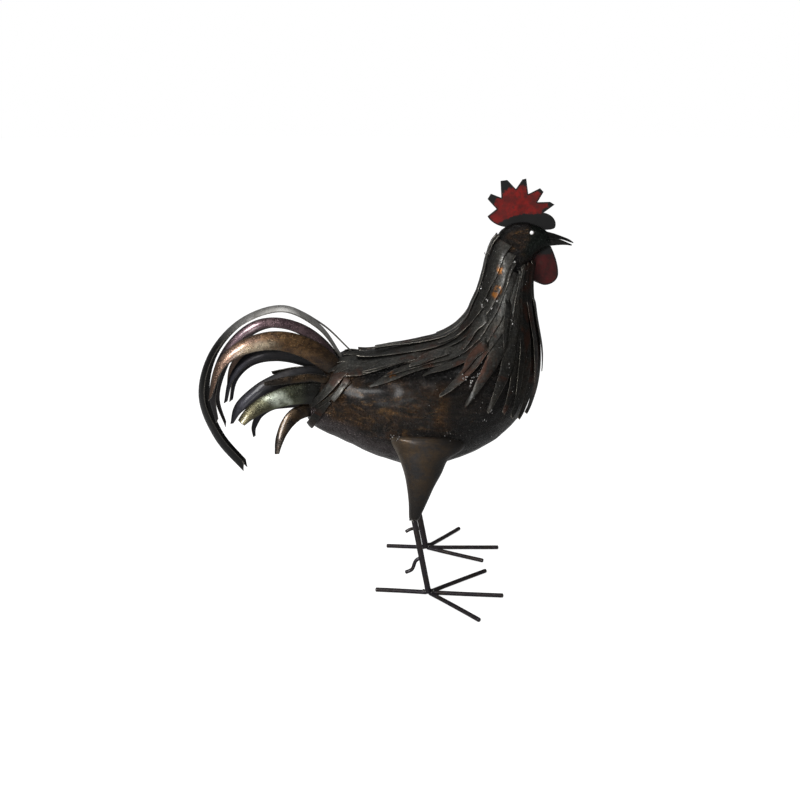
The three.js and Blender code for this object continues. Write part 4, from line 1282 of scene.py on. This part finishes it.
# ---- welds ---------------------------------------------------------------------------------

BEADS_PER_SPOT, CORNER_BEADS, DROPS_PER_TOE, KNEE_DROPS = 3, 14, 3, 11
BEAD_SEED, JOINT_SEED, SPATTER_SEED = 411, 733, 97
KNEE = (37.6, 56.9, 98)
SPATTER_HOOPS, SPATTER_SHARES, SPATTER_RADII = (3.2, 11.5), (0.08, 0.75), (0.25, 0.62)


def drop(bm, centre, normal, radius, flat, subdivisions):
    """One drop of weld metal pressed onto a surface."""
    turn = normal.to_track_quat("Z", "Y").to_matrix().to_4x4()
    girth = radius * MM
    place = Matrix.Translation(centre * MM) @ turn @ Matrix.Diagonal((girth, girth, girth * flat, 1))
    bmesh.ops.create_icosphere(bm, subdivisions=subdivisions, radius=1.0, matrix=place)


def roughen(bm):
    """Makes round drops of weld metal lumpy."""
    amount, scale = 0.25, 1.3
    for vert in bm.verts:
        point = vert.co / MM
        vert.co += Vector([wobble(point, scale, seed) for seed in (1, 9, 17)]) * amount * MM


def make_weld_beads(side, label, material):
    """Bright beads at the weld spots of the strips and at the upper rear corner of the thigh."""
    dice = random.Random(BEAD_SEED + side)
    size = 0.8 * sizes().bead
    bm = bmesh.new()
    for hoop, share, radius in WELD_SPOTS:
        for _ in range(BEADS_PER_SPOT):
            u = hoop + dice.uniform(-0.06, 0.06)
            v = share + dice.uniform(-0.012, 0.012)
            normal = shell_normal(u, v, side)
            drop(bm, shell_point(u, v, STRIP_HIGH + 1.2, side), normal, radius * size * dice.uniform(0.5, 0.9),
                 0.55, 2)
    for _ in range(CORNER_BEADS):
        spot = on_side((dice.uniform(10, 21), 61 + dice.uniform(-3, 1), dice.uniform(193, 203)), side)
        drop(bm, spot, Vector((0, side, 0)), size * dice.uniform(0.5, 1.0), 0.7, 2)
    roughen(bm)
    smooth_faces(bm)
    beads = new_object(f"weld_beads_{label}", bm, material)
    return finish_piece(beads, "leg_rod")


def make_joint_welds(side, label, material):
    """Dull welds where shank meets thigh and where the toes meet the shank."""
    dice = random.Random(JOINT_SEED + side)
    size = sizes().bead
    bm = bmesh.new()
    foot = on_side(SHANK_FOOT, side)
    for toe, (degrees, _) in FEET[side].items():
        angle = math.radians(degrees)
        heading = Vector((math.cos(angle), math.sin(angle), 0))
        for _ in range(DROPS_PER_TOE):
            spot = foot + heading * dice.uniform(4, 7.5) + Vector((0, 0, TOE_RADIUS + dice.uniform(-0.3, 1.4)))
            drop(bm, spot, (heading + Vector((0, 0, 1))).normalized(), size * dice.uniform(1.3, 2.1), 0.8, 2)
    joint = on_side(KNEE, side)
    for i in range(KNEE_DROPS):
        angle = i / KNEE_DROPS * 2 * math.pi + dice.uniform(-0.2, 0.2)
        out = Vector((math.cos(angle), math.sin(angle), 0))
        drop(bm, joint + out * 5.0 + Vector((0, 0, dice.uniform(-1.4, 1.0))), out, size * dice.uniform(1.2, 1.9),
             0.7, 2)
    roughen(bm)
    smooth_faces(bm)
    welds = new_object(f"joint_welds_{label}", bm, material)
    return finish_piece(welds, "leg_rod")


def make_spatter(side, label, material):
    """Small drops thrown over the strips while welding."""
    dice = random.Random(SPATTER_SEED + side)
    bm = bmesh.new()
    for _ in range(sizes().spatter):
        hoop = dice.uniform(*SPATTER_HOOPS)
        share = dice.uniform(*SPATTER_SHARES)
        radius = dice.uniform(*SPATTER_RADII) * sizes().bead
        normal = shell_normal(hoop, share, side)
        drop(bm, shell_point(hoop, share, STRIP_HIGH + 0.9, side), normal, radius, 0.8, 1)
    smooth_faces(bm)
    spatter = new_object(f"weld_spatter_{label}", bm, material)
    return finish_piece(spatter, "leg_rod")


# ---- stage ---------------------------------------------------------------------------------

CAMERA_PLACE = (0.021, -1.0519, 0.5484)
CAMERA_DOWN = 17.0
CAMERA_LENS, CAMERA_SENSOR = 41.25, 36.0
FLOOR_RADIUS = 30.0
# How bright the room is in reflections, and as light on the sheet.
ROOM_SHEEN, ROOM_FILL = 0.15, 0.55
# Softboxes: name, place, target, size, power.
LIGHTS = (
    ("key softbox", (-0.7, -1.15, 0.85), (-0.03, -0.04, 0.25), 0.32, 15),
    ("overhead", (-0.3, 0.1, 1.9), (0, 0, 0), 1.6, 9),
    ("tail kicker", (-0.375, -1.16, 0.39), (-0.105, -0.03, 0.24), 0.16, 1.2),
)


def floor_material():
    """Pale floor that the camera sees as white, but that reflections see as it is."""
    material, w, shader, place = start_material("pale floor")
    mottle = w.noise(place, 3.0, 2.0)
    w.put(shader.inputs["Base Color"], w.blend(mottle, grey(0.4), grey(0.42)))
    seen = w.tree.nodes.new("ShaderNodeLightPath").outputs["Is Camera Ray"]
    w.put(shader.inputs["Emission Color"], w.blend(seen, grey(0), grey(1)))
    shader.inputs["Roughness"].default_value = 0.9
    shader.inputs["Specular IOR Level"].default_value = 0.1
    shader.inputs["Emission Strength"].default_value = 0.8
    return material


def add_light(name, place, target, size, power):
    """A square softbox that faces its target."""
    data = bpy.data.lights.new(name, "AREA")
    data.size = size
    data.energy = power
    light = bpy.data.objects.new(name, data)
    light.location = place
    light.rotation_euler = (Vector(target) - Vector(place)).to_track_quat("-Z", "Y").to_euler()
    bpy.context.scene.collection.objects.link(light)


def make_stage():
    """Floor, world, three lights and the camera."""
    bm = bmesh.new()
    bmesh.ops.create_circle(bm, cap_ends=True, segments=96, radius=FLOOR_RADIUS)
    floor = new_object("studio_floor", bm, floor_material())

    world = bpy.data.worlds.new("studio")
    bpy.context.scene.world = world
    world.use_nodes = True
    back = world.node_tree.nodes["Background"]
    back.inputs["Color"].default_value = (1, 1, 1, 1)
    w = Wiring(world.node_tree)
    path = world.node_tree.nodes.new("ShaderNodeLightPath").outputs
    room = w.math("MULTIPLY_ADD", path["Is Glossy Ray"], ROOM_SHEEN - ROOM_FILL, ROOM_FILL)
    w.put(back.inputs["Strength"], w.math("MAXIMUM", room, path["Is Camera Ray"]))

    for light in LIGHTS:
        add_light(*light)

    data = bpy.data.cameras.new("camera")
    data.lens, data.sensor_width = CAMERA_LENS, CAMERA_SENSOR
    data.clip_start, data.clip_end = 0.05, 50
    camera = bpy.data.objects.new("camera", data)
    camera.location = CAMERA_PLACE
    camera.rotation_euler = (math.radians(90 - CAMERA_DOWN), 0, 0)
    bpy.context.scene.collection.objects.link(camera)
    bpy.context.scene.camera = camera
    bpy.context.scene.view_settings.view_transform = "Standard"


# ---- operators, panel and registration -----------------------------------------------------

class ROOSTER_OT_body(bpy.types.Operator):
    """Build the dented sheet body, neck and head"""
    bl_idname = "rooster.body"
    bl_label = "Body"

    def execute(self, context):
        make_body()
        return {"FINISHED"}


class ROOSTER_OT_eyes(bpy.types.Operator):
    """Set the eye discs"""
    bl_idname = "rooster.eyes"
    bl_label = "Eyes"

    def execute(self, context):
        for side, label in SIDES:
            make_eye(side, label)
        return {"FINISHED"}


class ROOSTER_OT_strips(bpy.types.Operator):
    """Lay the rows of feather strips and the short strips over them"""
    bl_idname = "rooster.strips"
    bl_label = "Feather strips"

    def execute(self, context):
        material = strip_material(colours())
        for side, label in SIDES:
            make_strips(side, label, material)
            make_overlays(side, label, material)
        return {"FINISHED"}


class ROOSTER_OT_tail(bpy.types.Operator):
    """Bend the sixteen tail feathers"""
    bl_idname = "rooster.tail"
    bl_label = "Tail"

    def execute(self, context):
        make_tail()
        return {"FINISHED"}


class ROOSTER_OT_comb(bpy.types.Operator):
    """Cut the comb and wattle plates"""
    bl_idname = "rooster.comb"
    bl_label = "Comb and wattle"

    def execute(self, context):
        make_comb_and_wattle()
        return {"FINISHED"}


class ROOSTER_OT_beak(bpy.types.Operator):
    """Form both beak halves"""
    bl_idname = "rooster.beak"
    bl_label = "Beak"

    def execute(self, context):
        make_beak()
        return {"FINISHED"}


class ROOSTER_OT_legs(bpy.types.Operator):
    """Roll the thigh cones and cut the bars of legs, spurs and toes"""
    bl_idname = "rooster.legs"
    bl_label = "Legs"

    def execute(self, context):
        thigh_finish, bar_finish = thigh_material(colours()), rod_material(colours())
        for side, label in SIDES:
            make_leg(side, label, thigh_finish, bar_finish)
        return {"FINISHED"}


class ROOSTER_OT_welds(bpy.types.Operator):
    """Add weld beads and spatter"""
    bl_idname = "rooster.welds"
    bl_label = "Welds"

    def execute(self, context):
        material = weld_material()
        dull = joint_material()
        for side, label in SIDES:
            make_weld_beads(side, label, material)
            make_joint_welds(side, label, dull)
            make_spatter(side, label, material)
        return {"FINISHED"}


class ROOSTER_OT_stage(bpy.types.Operator):
    """Set the floor, lights and camera"""
    bl_idname = "rooster.stage"
    bl_label = "Stage"

    def execute(self, context):
        make_stage()
        return {"FINISHED"}


OPERATORS = (ROOSTER_OT_body, ROOSTER_OT_eyes, ROOSTER_OT_strips, ROOSTER_OT_tail, ROOSTER_OT_comb,
             ROOSTER_OT_beak, ROOSTER_OT_legs, ROOSTER_OT_welds, ROOSTER_OT_stage)


class ROOSTER_PT_panel(bpy.types.Panel):
    """Sizes, colours and pieces of the rooster"""
    bl_idname = "ROOSTER_PT_panel"
    bl_label = "Welded Rooster"
    bl_space_type = "VIEW_3D"
    bl_region_type = "UI"
    bl_category = "Rooster"

    def draw(self, context):
        for group in (context.scene.rooster_sizes, context.scene.rooster_colours):
            box = self.layout.box()
            for name in group.__annotations__:
                box.prop(group, name)
        for operator in OPERATORS:
            self.layout.operator(operator.bl_idname)


CLASSES = (RoosterSizes, RoosterColours, *OPERATORS, ROOSTER_PT_panel)


def register():
    for item in CLASSES:
        bpy.utils.register_class(item)
    bpy.types.Scene.rooster_sizes = PointerProperty(type=RoosterSizes)
    bpy.types.Scene.rooster_colours = PointerProperty(type=RoosterColours)


def unregister():
    del bpy.types.Scene.rooster_colours
    del bpy.types.Scene.rooster_sizes
    for item in reversed(CLASSES):
        bpy.utils.unregister_class(item)


def main():
    register()
    for name in ("body", "eyes", "strips", "tail", "comb", "beak", "legs", "welds", "stage"):
        getattr(bpy.ops.rooster, name)()
    bpy.context.view_layer.update()


if __name__ == "__main__":
    main()
